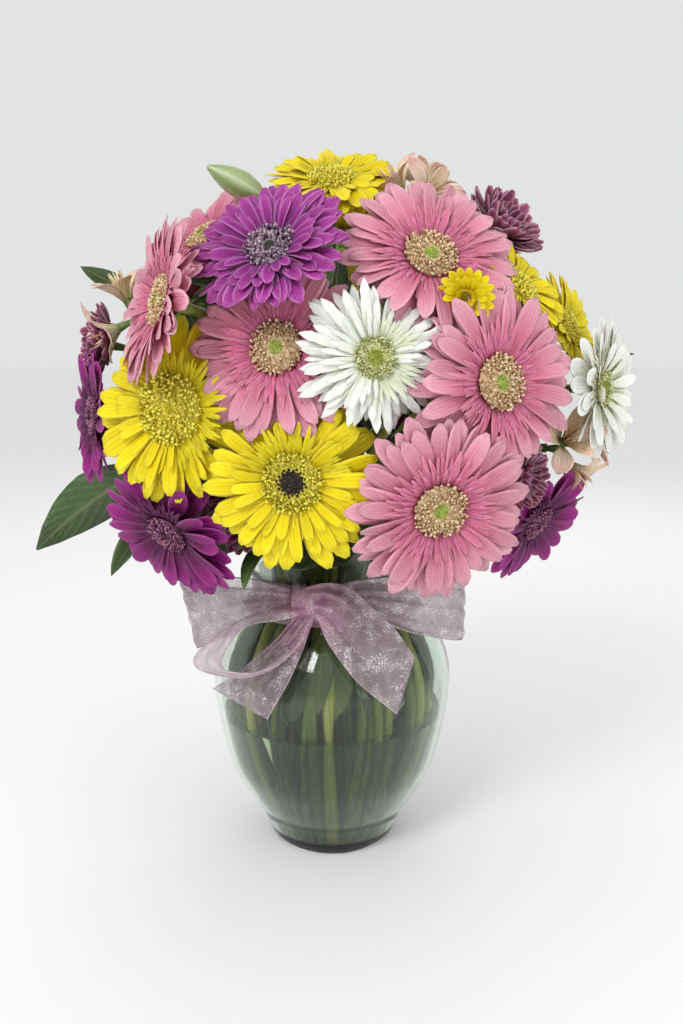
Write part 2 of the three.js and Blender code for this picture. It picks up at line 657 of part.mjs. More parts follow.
const ribbon = {
  thickness: 1,
  bandFrom: 178,
  bandTo: 204,
  knot: { centre: [-13, -64, 194], size: [13, 9, 11] },
  strips: {
    frontLoop: [
      [[-20, -66, 196], [-14, -72, 192]], [[-47, -72, 192], [-30, -96, 194]],
      [[-74, -76, 178], [-52, -118, 196]], [[-91, -76, 160], [-64, -129, 181]],
      [[-84, -76, 150], [-63, -125, 169]], [[-58, -79, 148], [-42, -110, 163]],
      [[-30, -78, 166], [-22, -92, 172]], [[-15, -68, 190], [-12, -72, 189]],
    ],
    leftTail: [
      [[-18, -68, 194], [-10, -72, 190]], [[-39, -78, 171], [-18, -84, 173]],
      [[-60, -76, 152], [-25, -94, 156]], [[-81, -64, 134], [-41, -98, 126]],
    ],
    rightTail: [
      [[-24, -64, 203], [-12, -70, 190]], [[-4, -74, 211], [-10, -77, 186]],
      [[13, -83, 210], [-6, -84, 180]], [[27, -89, 198], [3, -92, 168]],
      [[42, -90, 184], [18, -99, 151]], [[55, -84, 163], [43, -97, 129]],
    ],
    rightLoop: [
      [[-12, -64, 201], [-10, -68, 195]], [[20, -72, 213], [22, -78, 192]],
      [[60, -68, 215], [62, -78, 178]], [[91, -48, 206], [90, -57, 168]],
      [[84, -34, 202], [84, -43, 162]], [[48, -44, 202], [50, -54, 172]],
      [[16, -62, 203], [14, -66, 190]], [[-10, -62, 201], [-9, -66, 194]],
    ],
    leftLoop: [
      [[-20, -64, 201], [-20, -69, 194]], [[-48, -76, 214], [-47, -82, 188]],
      [[-78, -70, 214], [-74, -78, 174]], [[-103, -52, 206], [-92, -61, 162]],
      [[-92, -36, 200], [-86, -46, 160]], [[-56, -46, 200], [-56, -54, 176]],
      [[-22, -61, 201], [-22, -65, 193]],
    ],
  },
};

function makeStrip(stations, thickness) {
  const edge = (side) => new THREE.CatmullRomCurve3(stations.map((pair) => new THREE.Vector3(...pair[side])));
  const steps = Math.round((stations.length - 1) * 1.5);
  const [upper, lower] = [edge(0).getPoints(steps), edge(1).getPoints(steps)];
  const points = [];
  const faces = [];
  for (let k = 0; k <= steps; k += 1) {
    const behind = upper[Math.max(k - 1, 0)].clone().add(lower[Math.max(k - 1, 0)]);
    const ahead = upper[Math.min(k + 1, steps)].clone().add(lower[Math.min(k + 1, steps)]);
    const across = upper[k].clone().sub(lower[k]);
    const normal = ahead.sub(behind).cross(across).setLength(thickness / 2);
    for (const [spot, sign] of [[upper[k], 1], [lower[k], 1], [lower[k], -1], [upper[k], -1]]) {
      points.push(...spot.clone().addScaledVector(normal, sign).toArray());
    }
  }
  for (let k = 0; k < steps; k += 1) {
    for (let i = 0; i < 4; i += 1) {
      const [a, b] = [4 * k + i, 4 * k + ((i + 1) % 4)];
      faces.push(a, b, b + 4, a, b + 4, a + 4);
    }
  }
  const end = 4 * steps;
  faces.push(0, 2, 1, 0, 3, 2, end, end + 1, end + 2, end, end + 2, end + 3);
  return rightWayOut(points, faces);
}

function makeRibbon() {
  const { thickness, bandFrom, bandTo, knot, strips } = ribbon;
  const levels = [bandFrom, vase.outline.at(-2)[1], bandTo];
  const inside = levels.map((z) => [wallRadius(z) + 2.5 * gap, z]);
  const outside = levels.map((z) => [wallRadius(z) + 2.5 * gap + thickness, z]).reverse();
  const band = turned([...inside, ...outside, inside[0]].reverse(), vase.sides);
  const ball = new THREE.IcosahedronGeometry(1, 1).scale(...knot.size).translate(...knot.centre);
  const pieces = Object.values(strips).map((stations) => makeStrip(stations, thickness));
  const whole = pieces.reduce((all, piece) => all.add(piece), band.add(solidOfGeometry(ball)));
  const around = vase.levels.map((z) => [vaseRadius(z) + 2 * gap, z]);
  const clearing = turned([[0, 0], ...around, [0, vase.levels.at(-1)]], vase.sides);
  return largest(whole.subtract(clearing));
}

// Assembly

function makeMesh(name, solid, colour, roughness = 0.6, extra = {}) {
  const material = new THREE.MeshStandardMaterial({ color: colour, roughness, metalness: 0, ...extra });
  const mesh = new THREE.Mesh(geometryOf(solid), material);
  mesh.name = name;
  return mesh;
}

const random = seededRandom(20);
const blooms = [];

const makeHead = {
  gerbera(head, frame) {
    const { name, radius, cup } = head;
    const discColour = name === darkEyed ? colours.darkDisc : colours.disc;
    const star = gerberaStar(head, random);
    bendClear(star, frame, blooms);
    return {
      star,
      reach: radius + petalReach.gerbera,
      parts: [
        { name: '_petals', solid: petalStar(star), colour: colours[name.slice(3)] },
        { name: '_disc', solid: discSolid(radius, cup), colour: discColour },
      ],
      grown: [petalStar(star, gap), discSolid(radius, cup, gap)],
      stem: {
        radius: gerberaStem,
        calyxRadius: gerberaCalyx.radius * radius,
        calyxLength: gerberaCalyx.length,
        hub: star.hubBottom - gap,
      },
    };
  },
  chrysanthemum({ radius }, frame) {
    const star = mumStar(radius, random);
    bendClear(star, frame, blooms);
    return {
      star,
      reach: radius + petalReach.chrysanthemum,
      parts: [{ name: '', solid: petalStar(star), colour: colours.plum }],
      grown: [petalStar(star, gap)],
      stem: {
        radius: slimStem,
        calyxRadius: mumCalyx.radius,
        calyxLength: mumCalyx.length,
        hub: star.hubBottom - gap,
      },
    };
  },
  alstroemeria({ florets }) {
    return {
      star: null,
      reach: 0,
      parts: [{ name: '', solid: alstroemeriaSolid(florets, seededRandom(7)), colour: colours.cream }],
      grown: [alstroemeriaSolid(florets, seededRandom(7), gap)],
      stem: {
        radius: slimStem,
        calyxRadius: funnelCalyx.radius,
        calyxLength: funnelCalyx.length,
        hub: -alstroemeriaShape.stalkDepth - gap,
      },
    };
  },
};

for (const head of heads) {
  const frame = place(head);
  const bloom = makeHead[head.kind](head, frame);
  for (const part of bloom.parts) part.solid = moved(part.solid, frame.world);
  bloom.grown = bloom.grown.map((solid) => moved(solid, frame.world));
  blooms.push({ ...bloom, frame, name: `${head.kind}_${head.name}` });
}

const spots = neckSpots(blooms);
const stemFor = (bloom, i, grow) => makeStem({ ...bloom.stem, frame: bloom.frame }, spots[i], grow);
const stems = blooms.map((bloom, i) => stemFor(bloom, i, 0));
const grownStems = blooms.map((bloom, i) => stemFor(bloom, i, gap));

// Each bloom is cut clear of those above it and of the stems
blooms.forEach((bloom, i) => {
  const above = blooms.slice(0, i).flatMap((other) => other.grown);
  for (const part of bloom.parts) part.solid = cutClear(part.solid, [...above, ...grownStems]);
});

const allGrown = blooms.flatMap((bloom) => bloom.grown);
const core = new THREE.CylinderGeometry(bouquet.knotRadius, bouquet.knotRadius, bouquet.knotHeight, 12)
  .rotateX(Math.PI / 2)
  .translate(0, 0, bouquet.neckHeight);
const bunch = stems.reduce((all, stem) => all.add(stem), solidOfGeometry(core));
const stemPoints = blooms.flatMap((bloom, i) => {
  const path = stemPath({ ...bloom.stem, frame: bloom.frame }, spots[i], vase.base);
  return new THREE.CatmullRomCurve3(path.slice(2)).getPoints(12);
});
const backingLeaves = backing.rows.flatMap(({ elevation, azimuths }) => azimuths.map((azimuth) => ({
  from: onDome(azimuth, elevation + backing.fall / 2, backing.fromShare),
  to: onDome(azimuth, elevation - backing.fall / 2, backing.toShare),
  width: backing.width,
  roll: 0,
})));
const foliage = [...leaves, ...backingLeaves]
  .map((leaf) => makeLeaf(leaf, stemPoints))
  .map(({ leaf, stalk }) => cutClear(leaf, allGrown).add(stalk));
const greens = largest(foliage.reduce((all, leaf) => all.add(leaf), bunch));
const holes = grownStems.reduce((all, stem) => all.add(stem));

const gerberasInVase = new THREE.Group();

const clear = { transparent: true, opacity: 0.4 };
gerberasInVase.add(makeMesh('vase', makeVase(), colours.glass, 0.05, clear));
gerberasInVase.add(makeMesh('water', makeWater(holes), colours.water, 0.05, clear));
gerberasInVase.add(makeMesh('stems_and_leaves', greens, colours.green, 0.55));
gerberasInVase.add(makeMesh('ribbon', cutClear(makeRibbon(), allGrown), colours.organza, 0.4));

for (const bloom of blooms) {
  const head = new THREE.Group();
  head.applyMatrix4(bloom.frame.world);
  for (const part of bloom.parts) {
    const solid = moved(part.solid, bloom.frame.local);
    head.add(makeMesh(bloom.name + part.name, solid, part.colour, 0.65));
  }
  gerberasInVase.add(head);
}

export default gerberasInVase;
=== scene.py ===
import math
import random
from types import SimpleNamespace as Namespace

import bmesh
import bpy
import numpy as np
from mathutils import Matrix, Vector


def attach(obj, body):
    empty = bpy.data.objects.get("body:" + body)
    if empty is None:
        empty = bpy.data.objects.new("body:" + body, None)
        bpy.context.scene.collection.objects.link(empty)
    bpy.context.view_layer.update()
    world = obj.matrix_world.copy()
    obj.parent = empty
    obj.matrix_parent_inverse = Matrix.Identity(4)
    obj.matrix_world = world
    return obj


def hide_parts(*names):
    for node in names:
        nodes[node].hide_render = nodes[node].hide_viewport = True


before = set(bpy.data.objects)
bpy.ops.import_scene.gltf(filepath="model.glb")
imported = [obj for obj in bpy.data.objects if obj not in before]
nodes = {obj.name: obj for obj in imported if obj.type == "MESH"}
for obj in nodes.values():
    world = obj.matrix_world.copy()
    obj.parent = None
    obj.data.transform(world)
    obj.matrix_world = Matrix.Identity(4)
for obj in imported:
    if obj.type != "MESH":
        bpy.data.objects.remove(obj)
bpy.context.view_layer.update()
bpy.ops.object.select_all(action="DESELECT")
mm = 0.001
draw = random.Random(20)
anyTurn = (0, 6)  # radians, for a turn that may point anywhere


# A random amount, either way
def play(amount):
    return draw.uniform(-amount, amount)


print("frame loaded:", len(nodes), "nodes")

# Node helpers for the materials


def linear(code):
    parts = [int(code[k:k + 2], 16) / 255 for k in (0, 2, 4)]
    return tuple(p / 12.92 if p < 0.04 else ((p + 0.055) / 1.055) ** 2.4 for p in parts) + (1,)


def addNode(tree, kind, **settings):
    made = tree.nodes.new(kind)
    for key, value in settings.items():
        setattr(made, key, value)
    return made


def feed(tree, socket, value):
    if isinstance(value, bpy.types.NodeSocket):
        tree.links.new(value, socket)
    else:
        socket.default_value = value


# The sockets are named with _ for a space
def fill(tree, made, **values):
    for name, value in values.items():
        feed(tree, made.inputs[name.replace("_", " ")], value)
    return made


def maths(tree, operation, *values):
    made = addNode(tree, "ShaderNodeMath", operation=operation)
    for socket, value in zip(made.inputs, values):
        feed(tree, socket, value)
    return made.outputs[0]


def blend(tree, factor, first, second, kind="MIX"):
    made = addNode(tree, "ShaderNodeMix", data_type="RGBA", blend_type=kind)
    for index, value in ((0, factor), (6, first), (7, second)):
        feed(tree, made.inputs[index], value)
    return made.outputs[2]


def ramp(tree, factor, stops):
    made = addNode(tree, "ShaderNodeValToRGB")
    stops = list(stops)
    while len(made.color_ramp.elements) < len(stops):
        made.color_ramp.elements.new(0.5)
    for element, (place, code) in zip(made.color_ramp.elements, stops):
        element.position = place
        element.color = linear(code)
    tree.links.new(factor, made.inputs[0])
    return made.outputs[0]


def ownMap(tree):
    place = addNode(tree, "ShaderNodeUVMap", uv_map="UVMap").outputs[0]
    return fill(tree, addNode(tree, "ShaderNodeSeparateXYZ"), Vector=place).outputs[:2]


def fromMiddle(tree, value):
    doubled = maths(tree, "MULTIPLY", value, 2.0)
    return maths(tree, "ABSOLUTE", maths(tree, "SUBTRACT", doubled, 1.0))


def cloud(tree, scale, detail=2.0, stretch=(1, 1, 1)):
    place = addNode(tree, "ShaderNodeTexCoord").outputs["Object"]
    turned = fill(tree, addNode(tree, "ShaderNodeMapping"), Vector=place, Scale=stretch)
    noise = addNode(tree, "ShaderNodeTexNoise")
    return fill(tree, noise, Vector=turned.outputs[0], Scale=scale, Detail=detail).outputs[0]


def newGroup(name, inputs, outputs):
    tree = bpy.data.node_groups.new(name, "ShaderNodeTree")
    for label, value in inputs.items():
        socket = tree.interface.new_socket(name=label, in_out="INPUT", socket_type="NodeSocketFloat")
        socket.default_value = value
    for label in outputs:
        tree.interface.new_socket(name=label, in_out="OUTPUT", socket_type="NodeSocketFloat")
    return tree, tree.nodes.new("NodeGroupInput"), tree.nodes.new("NodeGroupOutput")


# Lines along a petal or leaf, read from its own map: x across, y from root to tip
veinLook = Namespace(depth=0.3, cloud=700.0)


def makeVeins():
    tree, given, out = newGroup("veins", {"Count": 5.0, "Slant": 0.0}, ("Line", "Along", "Side"))
    across, along = ownMap(tree)
    side = fromMiddle(tree, across)
    slanted = maths(tree, "MULTIPLY", along, given.outputs["Slant"])
    phase = maths(tree, "SUBTRACT", maths(tree, "MULTIPLY", side, given.outputs["Count"]), slanted)
    wave = maths(tree, "SINE", maths(tree, "MULTIPLY", phase, 2 * math.pi))
    line = maths(tree, "MULTIPLY_ADD", wave, veinLook.depth, cloud(tree, veinLook.cloud))
    fill(tree, out, Line=line, Along=along, Side=side)
    return tree


# Soft cloudy change of tone, and the piece's own share of it
def makeMottle():
    tree, given, out = newGroup("mottle", {"Scale": 60.0, "Cloud": 0.2, "Piece": 0.3}, ("Tone",))
    tone = addNode(tree, "ShaderNodeAttribute", attribute_name="tone")
    offset = maths(tree, "SUBTRACT", tone.outputs["Fac"], 0.5)
    own = maths(tree, "MULTIPLY", offset, given.outputs["Piece"])
    soft = maths(tree, "SUBTRACT", cloud(tree, given.outputs["Scale"], 3.0), 0.5)
    both = maths(tree, "MULTIPLY_ADD", soft, given.outputs["Cloud"], own)
    fill(tree, out, Tone=maths(tree, "ADD", both, 1.0))
    return tree


veins = makeVeins()
mottle = makeMottle()


def newMaterial(name, **settings):
    material = bpy.data.materials.new(name)
    material.use_nodes = True
    tree = material.node_tree
    return material, tree, fill(tree, tree.nodes["Principled BSDF"], **settings)


def useGroup(tree, group, **values):
    return fill(tree, addNode(tree, "ShaderNodeGroup", node_tree=group), **values)


def scaled(tree, colour, share):
    made = addNode(tree, "ShaderNodeVectorMath", operation="SCALE")
    return fill(tree, made, Vector=colour, Scale=share).outputs[0]


def raised(tree, skin, height, strength, distance):
    bump = addNode(tree, "ShaderNodeBump")
    fill(tree, bump, Height=height, Strength=strength, Distance=distance)
    fill(tree, skin, Normal=bump.outputs[0])


# A soft skin for plants, with the cloudy tone that changes over it and from piece to piece
def newPlantSkin(name, finish, **settings):
    material, tree, skin = newMaterial(
        name, Roughness=finish["roughness"], Subsurface_Weight=finish["glow"],
        Subsurface_Scale=finish.get("spread", 2 * mm), **settings)
    patch = useGroup(tree, mottle, Scale=finish["patch"], Cloud=finish["cloud"], Piece=finish["uneven"])
    return material, tree, skin, patch.outputs["Tone"]


def rampFromTone(tree, tone, stops):
    return ramp(tree, maths(tree, "SUBTRACT", tone, 0.5), stops)


# Camera, floor and light

view = Namespace(place=(0.007, -0.650, 0.358), lookDown=9.8, focal=31.64, nearest=0.01)
floor = Namespace(size=60.0, colour="F9F9F8")
studio = Namespace(sky="F4F5F5", strength=0.84, aim=(0, 0, 0.25))
# Place, size and power of each lamp
lamps = {
    "key": ((-0.75, -1.35, 1.35), 0.6, 14), "fill": ((1.2, -1.2, 0.7), 1.4, 5),
    "rim": ((0.3, 1.3, 1.4), 1.2, 4),
}


def makeStudio():
    turn = (math.radians(90 - view.lookDown), 0, 0)
    bpy.ops.object.camera_add(location=view.place, rotation=turn)
    camera = bpy.context.object
    camera.data.lens = view.focal
    camera.data.clip_start = view.nearest
    bpy.context.scene.camera = camera
    for name, (place, size, power) in lamps.items():
        bpy.ops.object.light_add(type="AREA", location=place)
        light = bpy.context.object
        light.name = name
        light.data.size = size
        light.data.energy = power
        towards = Vector(studio.aim) - Vector(place)
        light.rotation_euler = towards.to_track_quat("-Z", "Y").to_euler()
    world = bpy.data.worlds.new("studio")
    world.use_nodes = True
    tree = world.node_tree
    fill(tree, tree.nodes["Background"], Color=linear(studio.sky), Strength=studio.strength)
    bpy.context.scene.world = world
    bpy.context.scene.view_settings.view_transform = "Standard"
    bpy.ops.mesh.primitive_plane_add(size=floor.size)
    ground = bpy.context.object
    ground.name = "floor"
    ground.data.materials.append(
        newMaterial("floor", Base_Color=linear(floor.colour), Roughness=1.0, Specular_IOR_Level=0.0)[0])
    ground.select_set(False)


makeStudio()

# What all petals share, and what each colour has of its own: steps of colour from root to tip
petalFinish = {
    "roughness": 0.55, "glow": 0.12, "shine": 0.25, "veins": 2.5,
    "patch": 80.0, "cloud": 0.22, "uneven": 0.3, "line": "C8A8B0", "lineShare": 0.6,
    "edgePower": 7.0, "edgeShare": 0.3, "relief": (0.4, 0.6 * mm),
}
petalLooks = {
    "pink": {
        "outer": ("C24C74", "D17690", "DE98AC", "E8B2C0"), "inner": ("C84A7A", "DE6E96", "EE9CB6"),
        "edge": "F3D0DA", "line": "D4A8B0", "veins": 3.5, "lineShare": 0.55},
    "yellow": {
        "outer": ("D6BC00", "EAD200", "F4E008", "F7E830"), "inner": ("CAB200", "E0CC04", "EEDE20"),
        "edge": "FDF274", "line": "DCC65A", "uneven": 0.2},
    "violet": {
        "outer": ("5C1054", "861C76", "A0328E", "B650A2"), "inner": ("4C1048", "781E6C", "B060A0"),
        "edge": "D89AD0", "edgeShare": 0.6, "edgePower": 5.0, "line": "B080B8", "veins": 3.5},
    "magenta": {
        "outer": ("3A082C", "6C1052", "941C7A", "A83890"), "inner": ("2A0620", "520C40", "702060"),
        "edge": "C070B0", "edgeShare": 0.4, "line": "A078A0"},
    "white": {
        "outer": ("E6E8C8", "F5F5EA", "FAFAF5", "FCFCF9"), "inner": ("D4D898", "ECEECC", "F8F8EC"),
        "edge": "FFFFFF", "line": "E2E0D2", "uneven": 0.1, "veins": 3.5},
    "plum": {
        "outer": ("45122E", "64203F", "80385C", "9C5578"), "inner": ("2E0A1E", "501834", "6C2C4C"),
        "edge": "D8B0C2", "edgeShare": 0.85, "edgePower": 3.0, "line": "A08890"},
    "cream": {
        "outer": ("B4B87C", "EEE2C6", "F2DCCA", "E8B8B0"), "inner": ("D4C888", "F0E2B8", "F0D2C0"),
        "edge": "F8E8DA", "line": "C89A8C", "veins": 3.0},
}


# A petal is deepest at its root, lined along its length and paler at its edges
def makePetalMaterial(name, ownLook, part):
    look = {**petalFinish, **ownLook}
    material, tree, skin, tone = newPlantSkin(name, look, Specular_IOR_Level=look["shine"])
    lines = useGroup(tree, veins, Count=look["veins"])
    steps = look[part]
    stops = [(k / (len(steps) - 1), code) for k, code in enumerate(steps)]
    base = ramp(tree, lines.outputs["Along"], stops)
    lineShare = maths(tree, "MULTIPLY", lines.outputs["Line"], look["lineShare"])
    lined = blend(tree, lineShare, base, linear(look["line"]), "MULTIPLY")
    nearEdge = maths(tree, "POWER", lines.outputs["Side"], look["edgePower"])
    edged = blend(tree, maths(tree, "MULTIPLY", nearEdge, look["edgeShare"]), lined, linear(look["edge"]))
    fill(tree, skin, Base_Color=scaled(tree, edged, tone))
    raised(tree, skin, lines.outputs["Line"], *look["relief"])
    return material


petalSkins = {
    (name, part): makePetalMaterial(name + "Petal" + part.title(), look, part)
    for name, look in petalLooks.items() for part in ("outer", "inner")
}


# Buds, stamens and calyces: a colour between two, by each piece's own tone
tuftFinish = {
    "roughness": 0.6, "glow": 0.1, "spread": 1 * mm, "patch": 500.0, "cloud": 0.9, "uneven": 1.0,
    "ends": (0.15, 0.85), "relief": (0.3, 0.3 * mm),
}


def makeTuftMaterial(name, *colours):
    material, tree, skin, tone = newPlantSkin(name, tuftFinish)
    fill(tree, skin, Base_Color=rampFromTone(tree, tone, zip(tuftFinish["ends"], colours)))
    raised(tree, skin, tone, *tuftFinish["relief"])
    return material


eyeLooks = {
    "pink": {"bud": ("86983A", "B6C25C"), "stamen": ("B88A62", "F4E2B8"), "size": 0.27, "eye": 0.36},
    "white": {"bud": ("77822A", "ABB048"), "stamen": ("8A962C", "F2F2C4"), "size": 0.25, "eye": 0.52},
    "yellow": {"bud": ("A89A0C", "DACC28"), "stamen": ("BCA814", "F4EA5C"), "size": 0.34, "eye": 0.2},
    "dark": {"bud": ("120907", "3C271C"), "stamen": ("B4A61C", "F0E858"), "size": 0.31, "eye": 0.54},
    "violet": {"bud": ("20281E", "48523C"), "stamen": ("4A2C4E", "C8B0BC"), "size": 0.31, "eye": 0.28},
    "magenta": {"bud": ("1C1012", "4A2C34"), "stamen": ("50183C", "B47494"), "size": 0.26, "eye": 0.35},
}
eyeSkins = {
    (name, part): makeTuftMaterial(name + part.title(), *look[part])
    for name, look in eyeLooks.items() for part in ("bud", "stamen")
}
calyxSkin = makeTuftMaterial("calyxGreen", "4A6428", "86A04C")


# Leaves: a pale rib along the middle and fine ribs that leave it at a slant
leafFinish = {
    "roughness": 0.4, "glow": 0.05, "veins": 3.0, "patch": 35.0, "cloud": 1.2, "uneven": 0.8,
    "ends": (0.1, 0.9), "ribPower": 14.0, "finePower": 3.0, "fineShare": 0.5, "ribShare": 0.7,
    "relief": (0.4, 0.8 * mm),
}


def makeLeafMaterial(name, dark, light, rib, slant):
    look = leafFinish
    material, tree, skin, tone = newPlantSkin(name, look)
    lines = useGroup(tree, veins, Count=look["veins"], Slant=slant)
    base = rampFromTone(tree, tone, zip(look["ends"], (dark, light)))
    inwards = maths(tree, "SUBTRACT", 1.0, lines.outputs["Side"])
    middle = maths(tree, "POWER", inwards, look["ribPower"])
    ribs = maths(tree, "POWER", lines.outputs["Line"], look["finePower"])
    mask = maths(tree, "MAXIMUM", middle, maths(tree, "MULTIPLY", ribs, look["fineShare"]))
    ribbed = blend(tree, maths(tree, "MULTIPLY", mask, look["ribShare"]), base, linear(rib))
    fill(tree, skin, Base_Color=ribbed)
    raised(tree, skin, lines.outputs["Line"], *look["relief"])
    return material


leafSkin = makeLeafMaterial("leafGreen", "2A4220", "4C6A34", "7E9660", 9.0)
drownedSkin = makeLeafMaterial("drownedGreen", "38441C", "626E2E", "7C8844", 9.0)
budSkin = makeLeafMaterial("budGreen", "5E7A34", "A2B474", "E0E6C8", 0.0)


stemFinish = {
    "roughness": 0.45, "glow": 0.05, "patch": 25.0, "cloud": 0.6, "uneven": 1.1, "relief": (0.5, 0.5 * mm),
    "streaks": (260.0, 3.0, (1, 1, 0.08)),  # scale, detail and stretch
    "greens": [(0.0, "4C6420"), (0.4, "7C8A2E"), (0.7, "A4AE44"), (1.0, "C4C060")],
}


def makeStemMaterial():
    material, tree, skin, tone = newPlantSkin("stemGreen", stemFinish)
    streak = maths(tree, "SUBTRACT", cloud(tree, *stemFinish["streaks"]), 0.5)
    both = maths(tree, "ADD", tone, streak)
    fill(tree, skin, Base_Color=rampFromTone(tree, both, stemFinish["greens"]))
    raised(tree, skin, streak, *stemFinish["relief"])
    return material


stemSkin = makeStemMaterial()


clearLooks = {
    "glass": {"bend": 1.45, "tint": ("E4F0E8", "EEF6F0"), "cloud": 12.0, "waves": 18.0,
              "relief": (0.01, 0.5 * mm)},
    "water": {"bend": 1.33, "tint": ("C6D0A6", "D2DAB6"), "cloud": 14.0},
}


def makeClearMaterial(name, look):
    material, tree, skin = newMaterial(
        name, Transmission_Weight=1.0, Metallic=0.0, IOR=look["bend"], Roughness=0.0)
    deep, pale = look["tint"]
    tint = ramp(tree, cloud(tree, look["cloud"]), [(0.3, deep), (0.7, pale)])
    fill(tree, skin, Base_Color=tint)
    if "waves" in look:
        raised(tree, skin, cloud(tree, look["waves"], 1.0), *look["relief"])
    return material


glassSkin, waterSkin = (makeClearMaterial(name, look) for name, look in clearLooks.items())

# Organza: see-through, with a hem and painted glints (near-white highlights painted into its colour and
# density where two noises meet), pinker and denser where it is gathered at its knot
organza = Namespace(
    finish={"Roughness": 0.32, "Sheen_Weight": 0.6, "Sheen_Roughness": 0.3, "Specular_IOR_Level": 0.6},
    ends=[(0.2, "826676"), (0.8, "CBB0BE")], sheen="F4DCE8", glint="FFF4FA", patch=45.0, cloud=0.9,
    uneven=0.3, shimmer=1100.0, streaks=110.0, glintGain=24.0, glintMost=0.9,
    hemFrom=0.97, hemShare=0.85, glintShare=0.8, thin=0.34, grazing=0.6,
    relief=(0.35, 0.4 * mm),
)
gathered = Namespace(at=(-13, -66, 190), inner=10 * mm, outer=46 * mm, colour="C484A4", denser=0.2)


def makeOrganzaMaterial():
    material, tree, skin = newMaterial("organza", Sheen_Tint=linear(organza.sheen), **organza.finish)
    spot = ownMap(tree)
    shimmer = cloud(tree, organza.shimmer, 2.0)
    streaks = cloud(tree, organza.streaks, 4.0)
    patch = useGroup(tree, mottle, Scale=organza.patch, Cloud=organza.cloud, Piece=organza.uneven)
    base = rampFromTone(tree, patch.outputs["Tone"], organza.ends)
    gap = addNode(tree, "ShaderNodeVectorMath", operation="DISTANCE")
    gap.inputs[1].default_value = [value * mm for value in gathered.at]
    fill(tree, gap, Vector=addNode(tree, "ShaderNodeTexCoord").outputs["Object"])
    near = addNode(tree, "ShaderNodeMapRange", interpolation_type="SMOOTHSTEP")
    fill(tree, near, Value=gap.outputs["Value"], From_Min=gathered.inner, From_Max=gathered.outer,
         To_Min=1.0, To_Max=0.0)
    base = blend(tree, near.outputs[0], base, linear(gathered.colour))
    # Painted glints: a near-white highlight painted into the cloth's colour where the stretched streak
    # noise and the fine shimmer noise are both high. The cloth is also made denser there so that the
    # highlight shows
    wide = maths(tree, "POWER", streaks, 3.0)
    bright = maths(tree, "MULTIPLY", wide, maths(tree, "POWER", shimmer, 4.0))
    strong = maths(tree, "MULTIPLY", bright, organza.glintGain)
    glint = maths(tree, "MINIMUM", strong, organza.glintMost)
    hem = maths(tree, "GREATER_THAN", fromMiddle(tree, spot[1]), organza.hemFrom)
    facing = addNode(tree, "ShaderNodeLayerWeight").outputs["Facing"]
    thin = maths(tree, "MULTIPLY_ADD", near.outputs[0], gathered.denser, organza.thin)
    sheer = maths(tree, "MULTIPLY_ADD", maths(tree, "POWER", facing, 2.0), organza.grazing, thin)
    denseHem = maths(tree, "MULTIPLY", hem, organza.hemShare)
    dense = maths(tree, "MAXIMUM", denseHem, maths(tree, "MULTIPLY", glint, organza.glintShare))
    fill(tree, skin, Base_Color=blend(tree, glint, base, linear(organza.glint)),
         Alpha=maths(tree, "MAXIMUM", sheer, dense))
    raised(tree, skin, shimmer, *organza.relief)
    return material


organzaSkin = makeOrganzaMaterial()
print("materials made:", len(bpy.data.materials))

# Mesh helpers


def pick(*pieces):
    bpy.ops.object.select_all(action="DESELECT")
    for piece in pieces:
        piece.select_set(True)
    bpy.context.view_layer.objects.active = pieces[0]


# The shape that was added last, with its place in its mesh
def takeShape(name):
    made = bpy.context.object
    made.name = name
    made.data.transform(made.matrix_world)
    made.matrix_world = Matrix.Identity(4)
    return made


def startEdit(made):
    pick(made)
    bpy.ops.object.mode_set(mode="EDIT")


def endEdit(made, squareUp=False):
    if squareUp:
        bpy.ops.mesh.select_all(action="SELECT")
        bpy.ops.mesh.remove_doubles(threshold=1e-6)
        bpy.ops.mesh.normals_make_consistent(inside=False)
    bpy.ops.object.mode_set(mode="OBJECT")
    made.select_set(False)
    smooth(made)


def smooth(made):
    made.data.polygons.foreach_set("use_smooth", [True] * len(made.data.polygons))


def selectWhere(made, test):
    mesh = bmesh.from_edit_mesh(made.data)
    for vertex in mesh.verts:
        vertex.select = test(vertex.co)
    mesh.select_flush(True)
    mesh.select_flush(False)
    bmesh.update_edit_mesh(made.data)


def resizeWhere(made, test, size, centre):
    selectWhere(made, test)
    bpy.ops.transform.resize(value=size, center_override=centre)


def applyModifier(made, kind, **settings):
    modifier = made.modifiers.new(kind.lower(), kind)
    for key, value in settings.items():
        setattr(modifier, key, value)
    bpy.context.view_layer.objects.active = made
    bpy.ops.object.modifier_apply(modifier=modifier.name)


def setTone(mesh, tone):
    mark = mesh.attributes.get("tone") or mesh.attributes.new("tone", "FLOAT", "POINT")
    mark.data.foreach_set("value", [tone] * len(mesh.vertices))


def dress(mesh, material, tone=0.5):
    mesh.materials.clear()
    mesh.materials.append(material)
    setTone(mesh, tone)


def addObject(name, data):
    made = bpy.data.objects.new(name, data)
    bpy.context.scene.collection.objects.link(made)
    return made


def copyTo(source, matrix, material, tone=0.5):
    mesh = source.data.copy()
    mesh.transform(matrix)
    if material:
        dress(mesh, material, tone)
    return addObject(source.name + "Copy", mesh)


def joinPieces(name, pieces):
    pick(*pieces)
    bpy.ops.object.join()
    made = bpy.context.object
    made.name = name
    made.data.name = name
    made.select_set(False)
    return made


def settle(made, slot, *replaced):
    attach(made, "root")
    if replaced:
        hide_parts(*replaced)


def nodePoints(name):
    mesh = nodes[name].data
    flat = np.empty(len(mesh.vertices) * 3)
    mesh.vertices.foreach_get("co", flat)
    return np.unique(np.round(flat.reshape(-1, 3), 6), axis=0)


